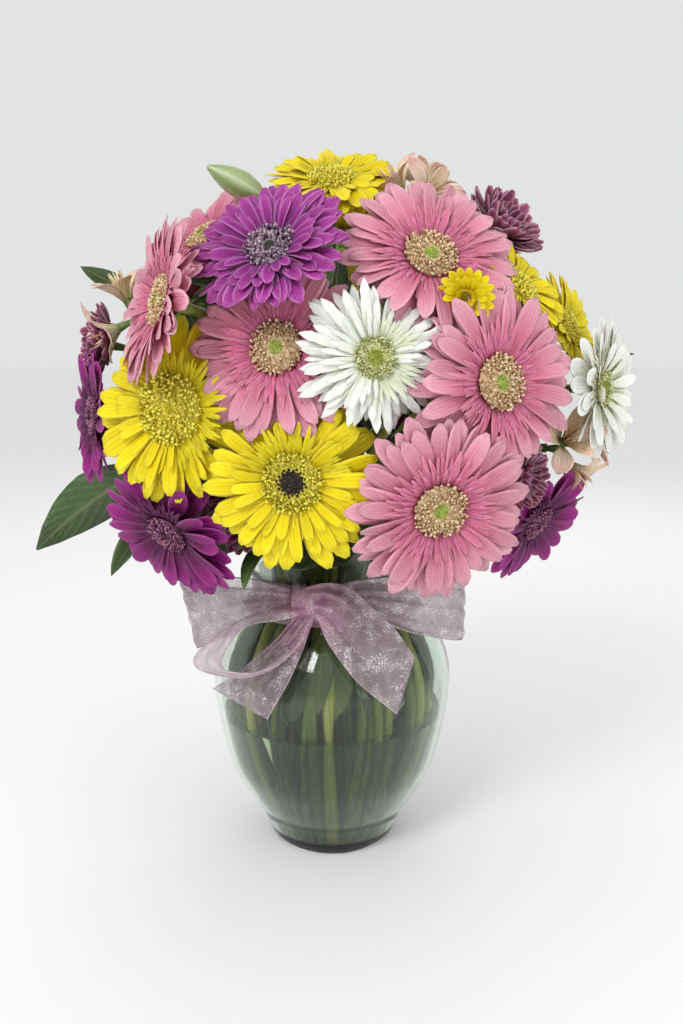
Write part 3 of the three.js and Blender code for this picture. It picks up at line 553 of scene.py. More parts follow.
def smoothPath(points, steps=4):
    spots = [Vector(point) for point in points]
    spots = [2 * spots[0] - spots[1], *spots, 2 * spots[-1] - spots[-2]]
    path = []
    for k in range(1, len(spots) - 2):
        a, b, c, d = spots[k - 1:k + 3]
        for j in range(steps):
            t = j / steps
            path.append(0.5 * (2 * b + (c - a) * t + (2 * a - 5 * b + 4 * c - d) * t ** 2
                               + (3 * b - a - 3 * c + d) * t ** 3))
    return path + [spots[-2]]


# A blade lies along +Y, one unit long: petals, bracts and leaves are all copies of one
bladeKinds = {
    "soft": {
        "columns": 6, "rows": 6, "width": 0.29, "cup": 0.12, "ridge": 0.03, "arch": 0.02, "droop": 0.05,
        "outline": [(0, 0.3), (0.2, 0.5), (0.45, 0.82), (0.68, 1), (0.84, 0.9), (0.94, 0.64), (1, 0.2)]},
    "round": {
        "columns": 6, "rows": 6, "width": 0.26, "cup": 0.1, "ridge": 0.03, "arch": 0.03, "droop": 0.05,
        "outline": [(0, 0.34), (0.25, 0.6), (0.5, 0.9), (0.72, 1), (0.88, 0.9), (0.96, 0.66), (1, 0.3)]},
    "broad": {
        "columns": 6, "rows": 7, "width": 0.36, "cup": 0.14, "ridge": 0.02, "arch": 0.03, "droop": 0.03,
        "outline": [(0, 0.24), (0.25, 0.55), (0.5, 0.9), (0.7, 1), (0.86, 0.84), (0.95, 0.58), (1, 0.2)]},
    "ragged": {
        "columns": 4, "rows": 8, "width": 0.19, "cup": 0.22, "ridge": 0.05, "arch": 0.02, "droop": 0.02,
        "twist": 40, "sway": 0.1,
        "outline": [(0, 0.5), (0.3, 0.85), (0.58, 1), (0.72, 0.78), (0.82, 0.9), (0.93, 0.5), (1, 0.08)]},
    "thread": {
        "columns": 2, "rows": 3, "width": 0.14, "cup": 0.5, "ridge": 0.0, "arch": 0.04, "droop": 0.12,
        "outline": [(0, 0.7), (0.5, 1), (0.85, 0.8), (1, 0.3)]},
    "short": {
        "columns": 4, "rows": 5, "width": 0.26, "cup": 0.5, "ridge": 0.0, "arch": 0.08, "droop": 0.06,
        "outline": [(0, 0.5), (0.4, 0.9), (0.7, 1), (0.9, 0.65), (1, 0.15)]},
    "curled": {
        "columns": 6, "rows": 7, "width": 0.46, "cup": 0.4, "ridge": 0.02, "arch": -0.12, "droop": -0.12,
        "outline": [(0, 0.5), (0.3, 0.85), (0.6, 1), (0.85, 0.85), (1, 0.3)]},
    "flare": {
        "columns": 6, "rows": 8, "width": 0.58, "cup": 0.22, "ridge": 0.01, "arch": 0.08, "droop": 0.2,
        "outline": [(0, 0.18), (0.3, 0.45), (0.6, 0.9), (0.78, 1), (0.92, 0.75), (1, 0.14)]},
    "leaf": {
        "columns": 6, "rows": 11, "width": 0.45, "cup": 0.14, "ridge": 0.0, "arch": 0.1, "droop": 0.0,
        "outline": [(0, 0.06), (0.12, 0.4), (0.3, 0.86), (0.48, 1), (0.7, 0.8), (0.88, 0.42), (1, 0.03)]},
}
bladeShare = {
    "thickness": 0.008, "ridges": 3, "wave": 0.06, "waves": 6, "twist": 18, "sway": 0.04,
    "droopUneven": (0.6, 1.6),
    "tipCrowd": 0.4,  # rows lie closer together towards the tip
}
variants = 4


def modelBlade(name, kind):
    shape = Namespace(**{**bladeShare, **bladeKinds[kind]})
    rows, columns = shape.rows, shape.columns
    bpy.ops.mesh.primitive_grid_add(
        x_subdivisions=columns, y_subdivisions=rows, size=1, location=(0, 0.5, 0))
    blade = takeShape(name)
    twist = math.radians(play(shape.twist))
    sway = play(shape.sway)
    phase = draw.uniform(*anyTurn)
    droop = shape.droop * draw.uniform(*shape.droopUneven)
    crowd = shape.tipCrowd
    ends, widths = zip(*shape.outline)
    startEdit(blade)
    for column in range(columns + 1):
        side = 2 * column / columns - 1
        selectWhere(blade, lambda co: abs(2 * co.x - side) < 0.5 / columns)
        fold = shape.cup * side ** 2 / 2 + shape.ridge * math.cos(shape.ridges * math.pi * side)
        bpy.ops.transform.translate(value=(0, 0, fold))
    for row in range(rows, -1, -1):
        share = row / rows
        along = share * (1 + crowd - crowd * share)
        width = float(np.interp(along, ends, widths)) * shape.width
        lift = shape.arch * math.sin(math.pi * along) - droop * along ** 3
        wave = shape.wave * math.sin(shape.waves * along + phase) * along * shape.width
        spot = (0, share, 0)
        resizeWhere(blade, lambda co: abs(co.y - share) < 0.2 / rows, (width, 1, width), spot)
        bpy.ops.transform.rotate(value=twist * along, orient_axis="Y", center_override=spot)
        bpy.ops.transform.translate(value=(sway * along ** 2, along - share, lift + wave))
    endEdit(blade)
    applyModifier(blade, "SOLIDIFY", thickness=shape.thickness, offset=0)
    smooth(blade)
    setTone(blade.data, 0.5)
    return blade


blades = {
    kind: [modelBlade(kind + str(k), kind) for k in range(variants)]
    for kind in bladeKinds
}
print("blades modelled:", len(bladeKinds) * variants)


def bladeMatrix(azimuth, root, height, tip, roll=0.0):
    away = Vector((tip[0] - root, tip[1] - height))
    pitch = math.atan2(away.y, away.x)
    turn = Matrix.Rotation(azimuth - math.pi / 2, 4, "Z") @ Matrix.Translation((0, root, height))
    tilt = turn @ Matrix.Rotation(pitch, 4, "X") @ Matrix.Rotation(roll, 4, "Y")
    return tilt @ Matrix.Scale(away.length, 4)


# A blade of one kind, in one of its variants and with its own tone
def placeBlade(kind, matrix, material):
    return copyTo(draw.choice(blades[kind]), matrix, material, draw.random())


def directionOf(azimuth, elevation):
    a, e = math.radians(azimuth), math.radians(elevation)
    return Vector((math.sin(a) * math.cos(e), -math.cos(a) * math.cos(e), math.sin(e)))


def placeBy(at, across, along, up):
    return Matrix.Translation(at) @ Matrix((across, along, up)).transposed().to_4x4()


# A place that looks along an axis, with its own X axis level
def placeOn(at, axis):
    across = Vector((0, 0, 1)).cross(axis).normalized()
    return placeBy(at, across, axis.cross(across), axis)


def scaledAt(height, wide, tall):
    return Matrix.Translation((0, 0, height)) @ Matrix.Diagonal((wide, wide, tall, 1))


def around(radius, turn, height):
    return Vector((radius * math.cos(turn), radius * math.sin(turn), height))


# A petal's tip, as its reach and its height, from its root's reach, its length and its slope
def slopedTip(root, length, slope):
    return (root + length * math.cos(slope), length * math.sin(slope))


def makeTube(name, path, radii, material, tone=0.5, sides=8):
    curve = bpy.data.curves.new(name, "CURVE")
    curve.dimensions = "3D"
    curve.bevel_depth = 1
    curve.bevel_resolution = (sides - 4) // 2
    curve.use_fill_caps = True
    spline = curve.splines.new("POLY")
    spline.points.add(len(path) - 1)
    for point, spot, radius in zip(spline.points, path, radii):
        point.co = (*spot, 1)
        point.radius = radius
    made = addObject(name, curve)
    pick(made)
    bpy.ops.object.convert(target="MESH")
    startEdit(made)
    endEdit(made, squareUp=True)
    dress(made.data, material, tone)
    return made


# The small pieces of an eye: a bud, a stamen and the dome that they stand on

eyePieces = Namespace(
    buds=60, budWidth=0.9, budUneven=(0.85, 1.2), budTall=1.2, budSpread=0.96,
    narrowFrom=0.6, narrow=0.4, crestTone=0.4,
    stamens=320, stamenSides=3, stamenLength=(0.09, 0.17), stamenLean=(-0.1, 0.3),
    outerLean=0.5, stamenUneven=0.2, stamenSpread=0.93,
    stamenFoot=0.24, stamenHead=0.4, stamenTip=0.35, tipRise=0.25,
    domeSides=20, domeRings=6, domeHeight=0.16, domeUnder=0.4, crestHeight=0.05, base=0.045,
    domeInside=0.95, crestOutside=1.04, golden=math.pi * (3 - 5 ** 0.5),
)


def modelBud():
    bpy.ops.mesh.primitive_ico_sphere_add(subdivisions=1, radius=1)
    bud = takeShape("bud")
    startEdit(bud)
    narrow = eyePieces.narrow
    resizeWhere(bud, lambda co: co.z > eyePieces.narrowFrom, (narrow, narrow, 1), (0, 0, 1))
    endEdit(bud)
    return bud


def modelStamen():
    bpy.ops.mesh.primitive_cone_add(
        vertices=eyePieces.stamenSides, radius1=eyePieces.stamenFoot, radius2=eyePieces.stamenHead,
        depth=1, location=(0, 0, 0.5))
    stamen = takeShape("stamen")
    startEdit(stamen)
    selectWhere(stamen, lambda co: co.z > 0.5)
    tip, rise = eyePieces.stamenTip, eyePieces.tipRise
    bpy.ops.mesh.extrude_region_move(TRANSFORM_OT_translate={"value": (0, 0, rise)})
    bpy.ops.transform.resize(value=(tip, tip, 1), center_override=(0, 0, 1 + rise))
    endEdit(stamen)
    return stamen


def modelDome():
    sides, rings = eyePieces.domeSides, eyePieces.domeRings
    bpy.ops.mesh.primitive_uv_sphere_add(segments=sides, ring_count=rings, radius=1)
    dome = takeShape("dome")
    startEdit(dome)
    resizeWhere(dome, lambda co: co.z < -0.1, (1, 1, eyePieces.domeUnder), (0, 0, 0))
    endEdit(dome)
    return dome


bud = modelBud()
stamen = modelStamen()
dome = modelDome()

# Gerberas: place and petal tips come from the frame's own blooms

gerbera = Namespace(
    frontCount=17, solidPetals=(18, 14), rootShare=0.2, upperReach=1.1, layerRise=0.9 * mm, slopeRise=3,
    jitter=Namespace(turn=5.5, length=0.1, ragged=0.27, most=0.35, roll=22, rise=2.8 * mm),
    hubHeight=0.7 * mm, middle=(0, -20 * mm, 300 * mm),
)
# Petals below and above, and rings in the middle: how many, their share of the reach, their slope
bloomLooks = {
    "pink": {"blade": "soft", "lower": 27, "upper": 25, "middle": []},
    "yellow": {"blade": "round", "lower": 28, "upper": 26, "middle": [(24, 0.72, 0.1)]},
    "violet": {"blade": "soft", "lower": 28, "upper": 27, "middle": [(24, 0.82, 0.1), (22, 0.68, 0.22)]},
    "magenta": {"blade": "broad", "lower": 20, "upper": 18, "middle": []},
    "white": {"blade": "ragged", "lower": 38, "upper": 36, "middle": [(26, 0.76, 0.12), (24, 0.58, 0.2)]},
    "gerbera_11_white": {"blade": "broad", "lower": 18, "upper": 16, "middle": [(12, 0.7, 0.3)]},
    "gerbera_18_white": {"blade": "soft", "lower": 26, "upper": 24, "middle": []},
}
darkEyed = "gerbera_10_yellow"


def bloomPlace(node, hubHeight):
    points = nodePoints(node)
    middle = points.mean(axis=0)
    axes = np.linalg.eigh(np.cov((points - middle).T))[1]
    axis = Vector(axes[:, 0])
    outward = Vector(middle) - Vector(gerbera.middle)
    if axis.dot(outward) < 0:
        axis = -axis
    lowest = min(Vector(point - middle).dot(axis) for point in points)
    return placeOn(Vector(middle) + axis * (lowest + hubHeight), axis)


def petalTips(node, place, count):
    points = nodePoints(node)
    local = np.array([place.inverted() @ Vector(point) for point in points])
    angle = np.arctan2(local[:, 1], local[:, 0])
    reach = np.hypot(local[:, 0], local[:, 1])
    tips = []
    for i in range(count):
        away = np.abs((angle - 2 * math.pi * i / count + math.pi) % (2 * math.pi) - math.pi)
        near = np.where(away < math.pi / count)[0]
        k = near[np.argmax(reach[near])]
        tips.append((reach[k], local[k, 2]))
    return tips


def tipAt(tips, azimuth, layer):
    count = len(tips)
    spot = (azimuth / (2 * math.pi) * count - layer) / 2
    low = math.floor(spot)
    share = spot - low
    first, second = tips[(2 * low + layer) % count], tips[(2 * low + 2 + layer) % count]
    return [a * (1 - share) + b * share for a, b in zip(first, second)]


def petalRing(place, tips, colour, blade, layer, count, share=1.0, extraSlope=0.0):
    jitter = gerbera.jitter
    radius = max(reach for reach, height in tips)
    root = gerbera.rootShare * radius
    height = gerbera.layerRise * (layer + gerbera.slopeRise * extraSlope)
    pieces = []
    for i in range(count):
        azimuth = 2 * math.pi * (i + 0.5 * layer + share) / count
        azimuth += math.radians(play(jitter.turn))
        reach, rise = tipAt(tips, azimuth, layer)
        if layer == 1:
            reach *= gerbera.upperReach
        uneven = jitter.ragged if blade == "ragged" else jitter.length
        reach = root + (reach * share - root) * (1 + uneven * draw.uniform(-1, jitter.most))
        rise = rise * share + extraSlope * reach + play(jitter.rise)
        roll = math.radians(play(jitter.roll))
        matrix = place @ bladeMatrix(azimuth, root, height, (reach, rise), roll)
        pieces.append(placeBlade(blade, matrix, petalSkins[colour, "outer"]))
    return pieces


# The crown of thin inner florets, one unit in radius and modelled once.
# Each ring has a reach, a slope and a count
crownShape = Namespace(
    rings=[(0.60, 0.22, 42), (0.54, 0.32, 44), (0.47, 0.45, 44), (0.41, 0.6, 40), (0.36, 0.8, 34)],
    root=0.24, slope=0.25, slopeShare=0.7, base=0.03, rise=0.04, offset=7,
    turn=0.08, length=(0.86, 1.08), roll=0.4, flattest=0.5, cupFrom=0.3,
)


def modelCrown():
    root, turn, roll = crownShape.root, crownShape.turn, crownShape.roll
    pieces = []
    for reachShare, slope, count in crownShape.rings:
        for i in range(count):
            azimuth = 2 * math.pi * (i + reachShare * crownShape.offset) / count
            azimuth += play(turn)
            reach = reachShare * draw.uniform(*crownShape.length)
            climb = slope * crownShape.slopeShare + crownShape.slope
            rise = crownShape.rise + (reach - root) * climb
            tip = (reach, rise)
            matrix = bladeMatrix(azimuth, root, crownShape.base, tip, play(roll))
            pieces.append(placeBlade("thread", matrix, calyxSkin))
    return joinPieces("crown", pieces)


crown = modelCrown()


def placeCrown(place, tips, colour):
    radius = max(reach for reach, height in tips)
    cupped = sum(height / reach for reach, height in tips) / len(tips)
    cup = crownShape.cupFrom
    grow = max(crownShape.flattest, (cup + cupped) / (cup + crownShape.slope))
    turn = Matrix.Rotation(draw.uniform(*anyTurn), 4, "Z")
    made = copyTo(crown, place @ turn @ Matrix.Diagonal((radius, radius, radius * grow, 1)), None)
    made.data.materials[0] = petalSkins[colour, "inner"]
    return made


# An eye for a bloom one unit in radius: a low dome of stamens round a centre of buds
def modelEye(name, look):
    size = look["size"]
    budPart = look["eye"] * size
    flat, crest = eyePieces.domeHeight * size, eyePieces.crestHeight * size
    base, golden, uneven = eyePieces.base, eyePieces.golden, eyePieces.stamenUneven
    seat = scaledAt(base, size * eyePieces.domeInside, flat)
    middle = scaledAt(base, budPart * eyePieces.crestOutside, flat + crest)
    budSkinHere, stamenSkinHere = eyeSkins[name, "bud"], eyeSkins[name, "stamen"]
    pieces = [
        copyTo(dome, seat, stamenSkinHere), copyTo(dome, middle, budSkinHere, eyePieces.crestTone)]
    for i in range(eyePieces.buds):
        share = math.sqrt((i + 0.5) / eyePieces.buds)
        reach, turn = budPart * share, golden * i
        height = base + (flat + crest) * math.sqrt(1 - (eyePieces.budSpread * share) ** 2)
        width = eyePieces.budWidth * budPart / math.sqrt(eyePieces.buds)
        width *= draw.uniform(*eyePieces.budUneven)
        spot = Matrix.Translation(around(reach, turn, height))
        matrix = spot @ Matrix.Diagonal((width, width, width * eyePieces.budTall, 1))
        pieces.append(copyTo(bud, matrix, budSkinHere, draw.random()))
    for i in range(eyePieces.stamens):
        share = (i + 0.5) / eyePieces.stamens
        reach = math.sqrt(budPart ** 2 + (size ** 2 - budPart ** 2) * share)
        length = size * draw.uniform(*eyePieces.stamenLength)
        lean = draw.uniform(*eyePieces.stamenLean) + eyePieces.outerLean * share
        height = base + flat * math.sqrt(1 - (eyePieces.stamenSpread * reach / size) ** 2)
        turn = Matrix.Rotation(golden * i + play(uneven), 4, "Z")
        stand = turn @ Matrix.Translation((0, reach, height))
        matrix = stand @ Matrix.Rotation(-lean, 4, "X") @ Matrix.Scale(length, 4)
        pieces.append(copyTo(stamen, matrix, stamenSkinHere, draw.random()))
    return joinPieces("eyeOf" + name.title(), pieces)


eyes = {name: modelEye(name, look) for name, look in eyeLooks.items()}
print("eyes modelled:", len(eyes))


calyx = Namespace(bracts=14, turn=0.1, reach=(0.24, 0.3), top=-3.2 * mm, root=2 * mm, low=-13 * mm)


def makeCalyx(place, radius):
    pieces = []
    for i in range(calyx.bracts):
        azimuth = 2 * math.pi * i / calyx.bracts + play(calyx.turn)
        tip = (radius * draw.uniform(*calyx.reach), calyx.top)
        matrix = place @ bladeMatrix(azimuth, calyx.root, calyx.low, tip)
        pieces.append(placeBlade("short", matrix, calyxSkin))
    return pieces


# Every bloom leaves the place, the direction, the hub's depth and the stem's radius for its stem
calyxPieces = []
stemHeads = []
stemSizes = {
    "gerbera": (5 * mm, 2.9 * mm), "chrysanthemum": (3 * mm, 1.9 * mm), "alstroemeria": (6 * mm, 1.9 * mm),
}


def addStemHead(place, hub, width):
    stemHeads.append((place.translation, place.to_3x3() @ Vector((0, 0, 1)), hub, width))


gerberaNodes = sorted(name[:-len("_petals")] for name in nodes if name.endswith("_petals"))
for index, name in enumerate(gerberaNodes):
    colour = name.split("_")[-1]
    place = bloomPlace(name + "_disc", gerbera.hubHeight)
    solidCount = gerbera.solidPetals[index >= gerbera.frontCount]
    tips = petalTips(name + "_petals", place, solidCount)
    radius = max(reach for reach, height in tips)
    eyeName = "dark" if name == darkEyed else colour
    bloomLook = bloomLooks.get(name, bloomLooks[colour])
    pieces = petalRing(place, tips, colour, bloomLook["blade"], 0, bloomLook["lower"])
    pieces += petalRing(place, tips, colour, bloomLook["blade"], 1, bloomLook["upper"])
    for count, share, extraSlope in bloomLook["middle"]:
        pieces += petalRing(place, tips, colour, bloomLook["blade"], 1, count, share, extraSlope)
    pieces.append(placeCrown(place, tips, colour))
    petals = joinPieces(name + "_bloom", pieces)
    settle(petals, colour + "_petals", name + "_petals")
    spin = Matrix.Rotation(draw.uniform(*anyTurn), 4, "Z") @ Matrix.Scale(radius, 4)
    eye = copyTo(eyes[eyeName], place @ spin, None)
    eye.name = name + "_eye"
    settle(eye, "dark_disc" if eyeName == "dark" else "green_disc", name + "_disc")
    calyxPieces += makeCalyx(place, radius)
    addStemHead(place, *stemSizes["gerbera"])
print("gerberas made:", len(gerberaNodes))

# A small golden daisy between the upper blooms on the right: count, reach and slope of each ring
goldenDaisy = Namespace(
    at=(76, -138, 391), faces=(-12, -14), radius=17 * mm, eyeShare=0.75, rootShare=0.12,
    rings=[(18, 1.0, 14), (16, 0.86, 36), (12, 0.62, 60)], roll=0.3, stalk=(-38 * mm, 1 * mm),
    stalkRadii=(1.3 * mm, 1.6 * mm),
)


def makeGoldenDaisy():
    place = placeOn(Vector(goldenDaisy.at) * mm, directionOf(*goldenDaisy.faces))
    radius, roll = goldenDaisy.radius, goldenDaisy.roll
    root = radius * goldenDaisy.rootShare
    pieces = [copyTo(eyes["yellow"], place @ Matrix.Scale(radius * goldenDaisy.eyeShare, 4), None)]
    for count, share, rise in goldenDaisy.rings:
        slope = math.radians(rise)
        for i in range(count):
            azimuth = 2 * math.pi * (i + share) / count
            tip = slopedTip(0, radius * share, slope)
            matrix = place @ bladeMatrix(azimuth, root, 0, tip, play(roll))
            pieces.append(placeBlade("broad", matrix, petalSkins["yellow", "outer"]))
    path = [place @ Vector((0, 0, height)) for height in goldenDaisy.stalk]
    pieces.append(makeTube("stalk", path, goldenDaisy.stalkRadii, calyxSkin))
    made = joinPieces("golden_daisy", pieces)
    settle(made, "yellow_petals")


makeGoldenDaisy()

# Chrysanthemums: three rings of curled petals round a tuft, with count, reach and slope for each ring

mum = Namespace(
    rings=[(20, 0.98, 12), (18, 0.85, 34), (14, 0.6, 58)], root=3 * mm, hub=3 * mm,
    turn=0.08, slopeUneven=6, length=(0.92, 1.06), roll=0.3,
    buds=26, tuftShare=0.2, tuftHeight=4 * mm, spiral=2.4,
    budSize=(1.1 * mm, 1.1 * mm, 3.4 * mm),
)


def makeMum(name, node):
    place = bloomPlace(node, mum.hub)
    points = [place.inverted() @ Vector(point) for point in nodePoints(node)]
    radius = max(point.xy.length for point in points)
    pieces = []
    for count, share, rise in mum.rings:
        for i in range(count):
            azimuth = 2 * math.pi * (i + share) / count + play(mum.turn)
            slope = math.radians(rise + play(mum.slopeUneven))
            length = radius * share * draw.uniform(*mum.length)
            roll = play(mum.roll)
            matrix = place @ bladeMatrix(azimuth, mum.root, 0, slopedTip(mum.root, length, slope), roll)
            pieces.append(placeBlade("curled", matrix, petalSkins["plum", "outer"]))
    for i in range(mum.buds):
        reach = mum.tuftShare * radius * math.sqrt((i + 0.5) / mum.buds)
        spot = Matrix.Translation(around(reach, mum.spiral * i, mum.tuftHeight))
        matrix = place @ spot @ Matrix.Diagonal((*mum.budSize, 1))
        pieces.append(copyTo(bud, matrix, eyeSkins["magenta", "stamen"], draw.random()))
    made = joinPieces(name, pieces)
    settle(made, "plum_petals", node)
    addStemHead(place, *stemSizes["chrysanthemum"])


mumNodes = sorted(name for name in nodes if name.startswith("chrysanthemum"))
for node in mumNodes:
    makeMum(node + "_bloom", node)
print("chrysanthemums made:", len(mumNodes))

# Alstroemerias: sprays of funnels, each of three broad and three narrow petals.
# Each spray has a place, the azimuth and elevation that it faces, and a number of florets

alstroemeria = {
    "top": ((52, -44, 450), (30, 66), 3), "left": ((-128, -46, 382), (-60, 20), 2),
    "right": ((146, -64, 299), (52, 2), 3), "back": ((62, 20, 446), (110, 60), 2),
}
floret = Namespace(
    petals=6, lean=46, stalk=12 * mm, size=26 * mm, root=2.4 * mm, broad=46, narrow=56,
    slopeUneven=4, roll=0.15, narrowLength=0.94, narrowWidth=0.72,
    stamens=6, stamenLean=0.22, stamenSize=(2.2 * mm, 2.2 * mm, 17 * mm),
    stalkFrom=-6 * mm, throat=(-9 * mm, 2 * mm), stalkRadii=(1.7 * mm, 1.7 * mm, 3.2 * mm),
)


def makeFloret(place):
    uneven, roll = floret.slopeUneven, floret.roll
    pieces = []
    for i in range(floret.petals):
        isNarrow = i % 2 == 1
        rise = floret.narrow if isNarrow else floret.broad
        slope = math.radians(rise + play(uneven))
        length = floret.size * (floret.narrowLength if isNarrow else 1)
        tip = slopedTip(floret.root, length, slope)
        azimuth = 2 * math.pi * i / floret.petals
        matrix = place @ bladeMatrix(azimuth, floret.root, 0, tip, play(roll))
        matrix = matrix @ Matrix.Diagonal((floret.narrowWidth if isNarrow else 1, 1, 1, 1))
        pieces.append(placeBlade("flare", matrix, petalSkins["cream", "inner" if isNarrow else "outer"]))
    lean = Matrix.Rotation(floret.stamenLean, 4, "Y")
    for i in range(floret.stamens):
        turn = Matrix.Rotation(2 * math.pi * (i + 0.5) / floret.stamens, 4, "Z") @ lean
        matrix = place @ turn @ Matrix.Diagonal((*floret.stamenSize, 1))
        pieces.append(copyTo(stamen, matrix, eyeSkins["pink", "stamen"], draw.random()))
    return pieces


for name, (at, faces, count) in alstroemeria.items():
    place = placeOn(Vector(at) * mm, directionOf(*faces))
    pieces = []
    for i in range(count):
        turn = Matrix.Rotation(2 * math.pi * i / count, 4, "Z")
        turn = turn @ Matrix.Rotation(math.radians(floret.lean), 4, "X")
        along = place @ turn @ Matrix.Translation((0, 0, floret.stalk))
        pieces += makeFloret(along)
        path = [place @ Vector((0, 0, floret.stalkFrom))]
        path += [along @ Vector((0, 0, height)) for height in floret.throat]
        pieces.append(makeTube("stalk", path, floret.stalkRadii, calyxSkin))
    made = joinPieces("alstroemeria_" + name + "_florets", pieces)
    settle(made, "cream_petals", "alstroemeria_" + name)
    addStemHead(place, *stemSizes["alstroemeria"])
print("alstroemerias made:", len(alstroemeria))

# Stems: straight from the vase's floor through its neck, then in a curve to each bloom

stems = Namespace(
    centre=(0, -20 * mm, 326 * mm), neckHeight=177 * mm, neckSpread=17 * mm, widestLean=2,
    pitch=6.4 * mm, neckRadius=20 * mm, footRadius=33 * mm, floor=9.3 * mm,
    rounds=150, straight=0.45, turn=0.34, splay=6.0, calyx=13 * mm,
    below=6, above=14, uneven=(0.95, 1.05), flare=1.7, sides=12,
)


# Where each stem passes the neck: towards its bloom, then pushed apart until none overlap
def neckSpots(heads):
    spots = []
    for centre, axis, hub, width in heads:
        away = (centre - Vector(stems.centre)).normalized()
        towards = away.xy.normalized() * stems.neckSpread
        spots.append(towards * math.acos(away.z) / stems.widestLean)
    for _ in range(stems.rounds):
        for i in range(len(spots)):
            for j in range(i):
                apart = spots[i] - spots[j]
                short = stems.pitch - apart.length
                if short > 0:
                    push = apart.normalized() * short / 2
                    spots[i] += push
                    spots[j] -= push
        for spot in spots:
            if spot.length > stems.neckRadius:
                spot.length = stems.neckRadius
    return spots


def stemPath(head, spot):
    centre, axis, hub, width = head
    spread = stems.footRadius / stems.neckRadius
    foot = Vector((spot.x * spread, spot.y * spread, stems.floor))
    neck = Vector((spot.x, spot.y, stems.neckHeight))
    end = centre - axis * hub
    top = centre - axis * (hub + stems.calyx)
    reach = (top - neck).length
    rise = Vector((spot.x * stems.splay, spot.y * stems.splay, 1)).normalized()
    second = neck + rise * reach * stems.straight
    third = top - axis * reach * stems.turn
    path = [foot.lerp(neck, k / stems.below) for k in range(stems.below)]
    for k in range(stems.above + 1):
        t = k / stems.above
        start = (1 - t) ** 3 * neck + 3 * (1 - t) ** 2 * t * second
        path.append(start + 3 * (1 - t) * t ** 2 * third + t ** 3 * top)
    return path + [end]


stemPaths = [stemPath(head, spot) for head, spot in zip(stemHeads, neckSpots(stemHeads))]
stemPieces = []
for path, (centre, axis, hub, width) in zip(stemPaths, stemHeads):
    radii = [width * draw.uniform(*stems.uneven)] * (len(path) - 1) + [width * stems.flare]
    stemPieces.append(makeTube("stem", path, radii, stemSkin, draw.random(), stems.sides))
print("stems made:", len(stemPieces))

# Leaves: where each starts, where its tip is, its width, and its roll from lying flat

leaves = [
    ((-128, -20, 284), (-210, -22, 222), 42, 70), ((-118, -50, 252), (-146, -62, 212), 22, 60),
    ((-130, -22, 392), (-166, -32, 418), 15, 60), ((150, -14, 346), (206, -30, 358), 15, 50),
    ((-34, -74, 246), (-52, -112, 216), 18, 20), ((22, 58, 258), (46, 132, 230), 38, 0),
    ((88, 40, 256), (150, 84, 230), 38, 0), ((-100, 20, 250), (-160, 48, 226), 34, 0),
]
# More leaves droop under the blooms, in rows on a smaller dome: elevation and azimuths of each row
backing = Namespace(
    centre=(0, -20, 300), radii=(150, 124, 158), rootShare=0.72, tipShare=0.94, fall=30, width=44,
    rows={62: (-62, 58, 130, 235), 50: (-4,), 32: (86, 182, 272), 6: (118, 186, 236, 284)},
)


def onDome(azimuth, elevation, share):
    outward = directionOf(azimuth, elevation)
    return tuple(backing.centre[k] + share * backing.radii[k] * outward[k] for k in range(3))


for elevation, azimuths in backing.rows.items():
    for azimuth in azimuths:
        start = onDome(azimuth, elevation, backing.rootShare)
        end = onDome(azimuth, elevation - backing.fall, backing.tipShare)
        leaves.append((start, end, backing.width, 0))

# A leaf's stalk leaves the nearest stem above the neck and ends inside the leaf
stalk = Namespace(
    aboveNeck=5, bendAt=0.6, bend=4 * mm, radius=1.6 * mm, thin=1.1 * mm,
    inside=(0, 0.12, 0.03),
)


def makeStalk(root, inside, radius):
    spots = [spot for path in stemPaths for spot in path[stalk.aboveNeck:]]
    nearest = min(spots, key=lambda spot: (spot - root).length)
    middle = nearest.lerp(root, stalk.bendAt) + Vector((0, 0, stalk.bend))
    path = smoothPath([nearest, middle, root, inside])
    return makeTube("stalk", path, [radius] * len(path), stemSkin)


def leafMatrix(root, tip, width, faces):
    along = tip - root
    grow = along.length
    across = along.cross(faces).normalized()
    turn = placeBy(root, across, along.normalized(), across.cross(along).normalized())
    return turn @ Matrix.Diagonal((width / bladeKinds["leaf"]["width"], grow, grow, 1))


def makeLeaf(start, end, width, roll):
    root, tip = Vector(start) * mm, Vector(end) * mm
    faces = Matrix.Rotation(math.radians(roll), 3, tip - root) @ Vector((0, 0, 1))
    matrix = leafMatrix(root, tip, width * mm, faces)
    leaf = placeBlade("leaf", matrix, leafSkin)
    return [leaf, makeStalk(root, matrix @ Vector(stalk.inside), stalk.radius)]


# Stems of the filling greens fill the vase to its wall, and end in a leaf under the blooms.
# Each ring gives the radius, its play and the height that the stems pass
fillers = Namespace(
    count=46, width=(2.2, 4.0), turn=0.3, lean=0.4,
    reach=(38, 60), fall=16, leafWidth=0.4,
    rings=[(38, 3, 10), (55, 5, 50), (71, 6, 92), (72, 6, 130), (56, 6, 165), (40, 6, 190), (44, 6, 222),
           (62, 7, 246)],
)
# Leaves that hang in the water: radius and height of their two ends
drowned = Namespace(
    count=22, turn=0.35, ends=((52, 166), (76, 116)), radius=(0.85, 1.05), height=10,
    width=26, wide=(0.7, 1.2),
)
# Leafy sprigs all over the inside of the dome, each on a stalk of its own
sprigs = Namespace(
    count=130, rootShare=0.64, tipShare=(0.86, 0.99), width=(18, 28), tilt=24, twist=30,
    elevations=(-22, 72), turn=137.5, stalkEnd=0.1,
)


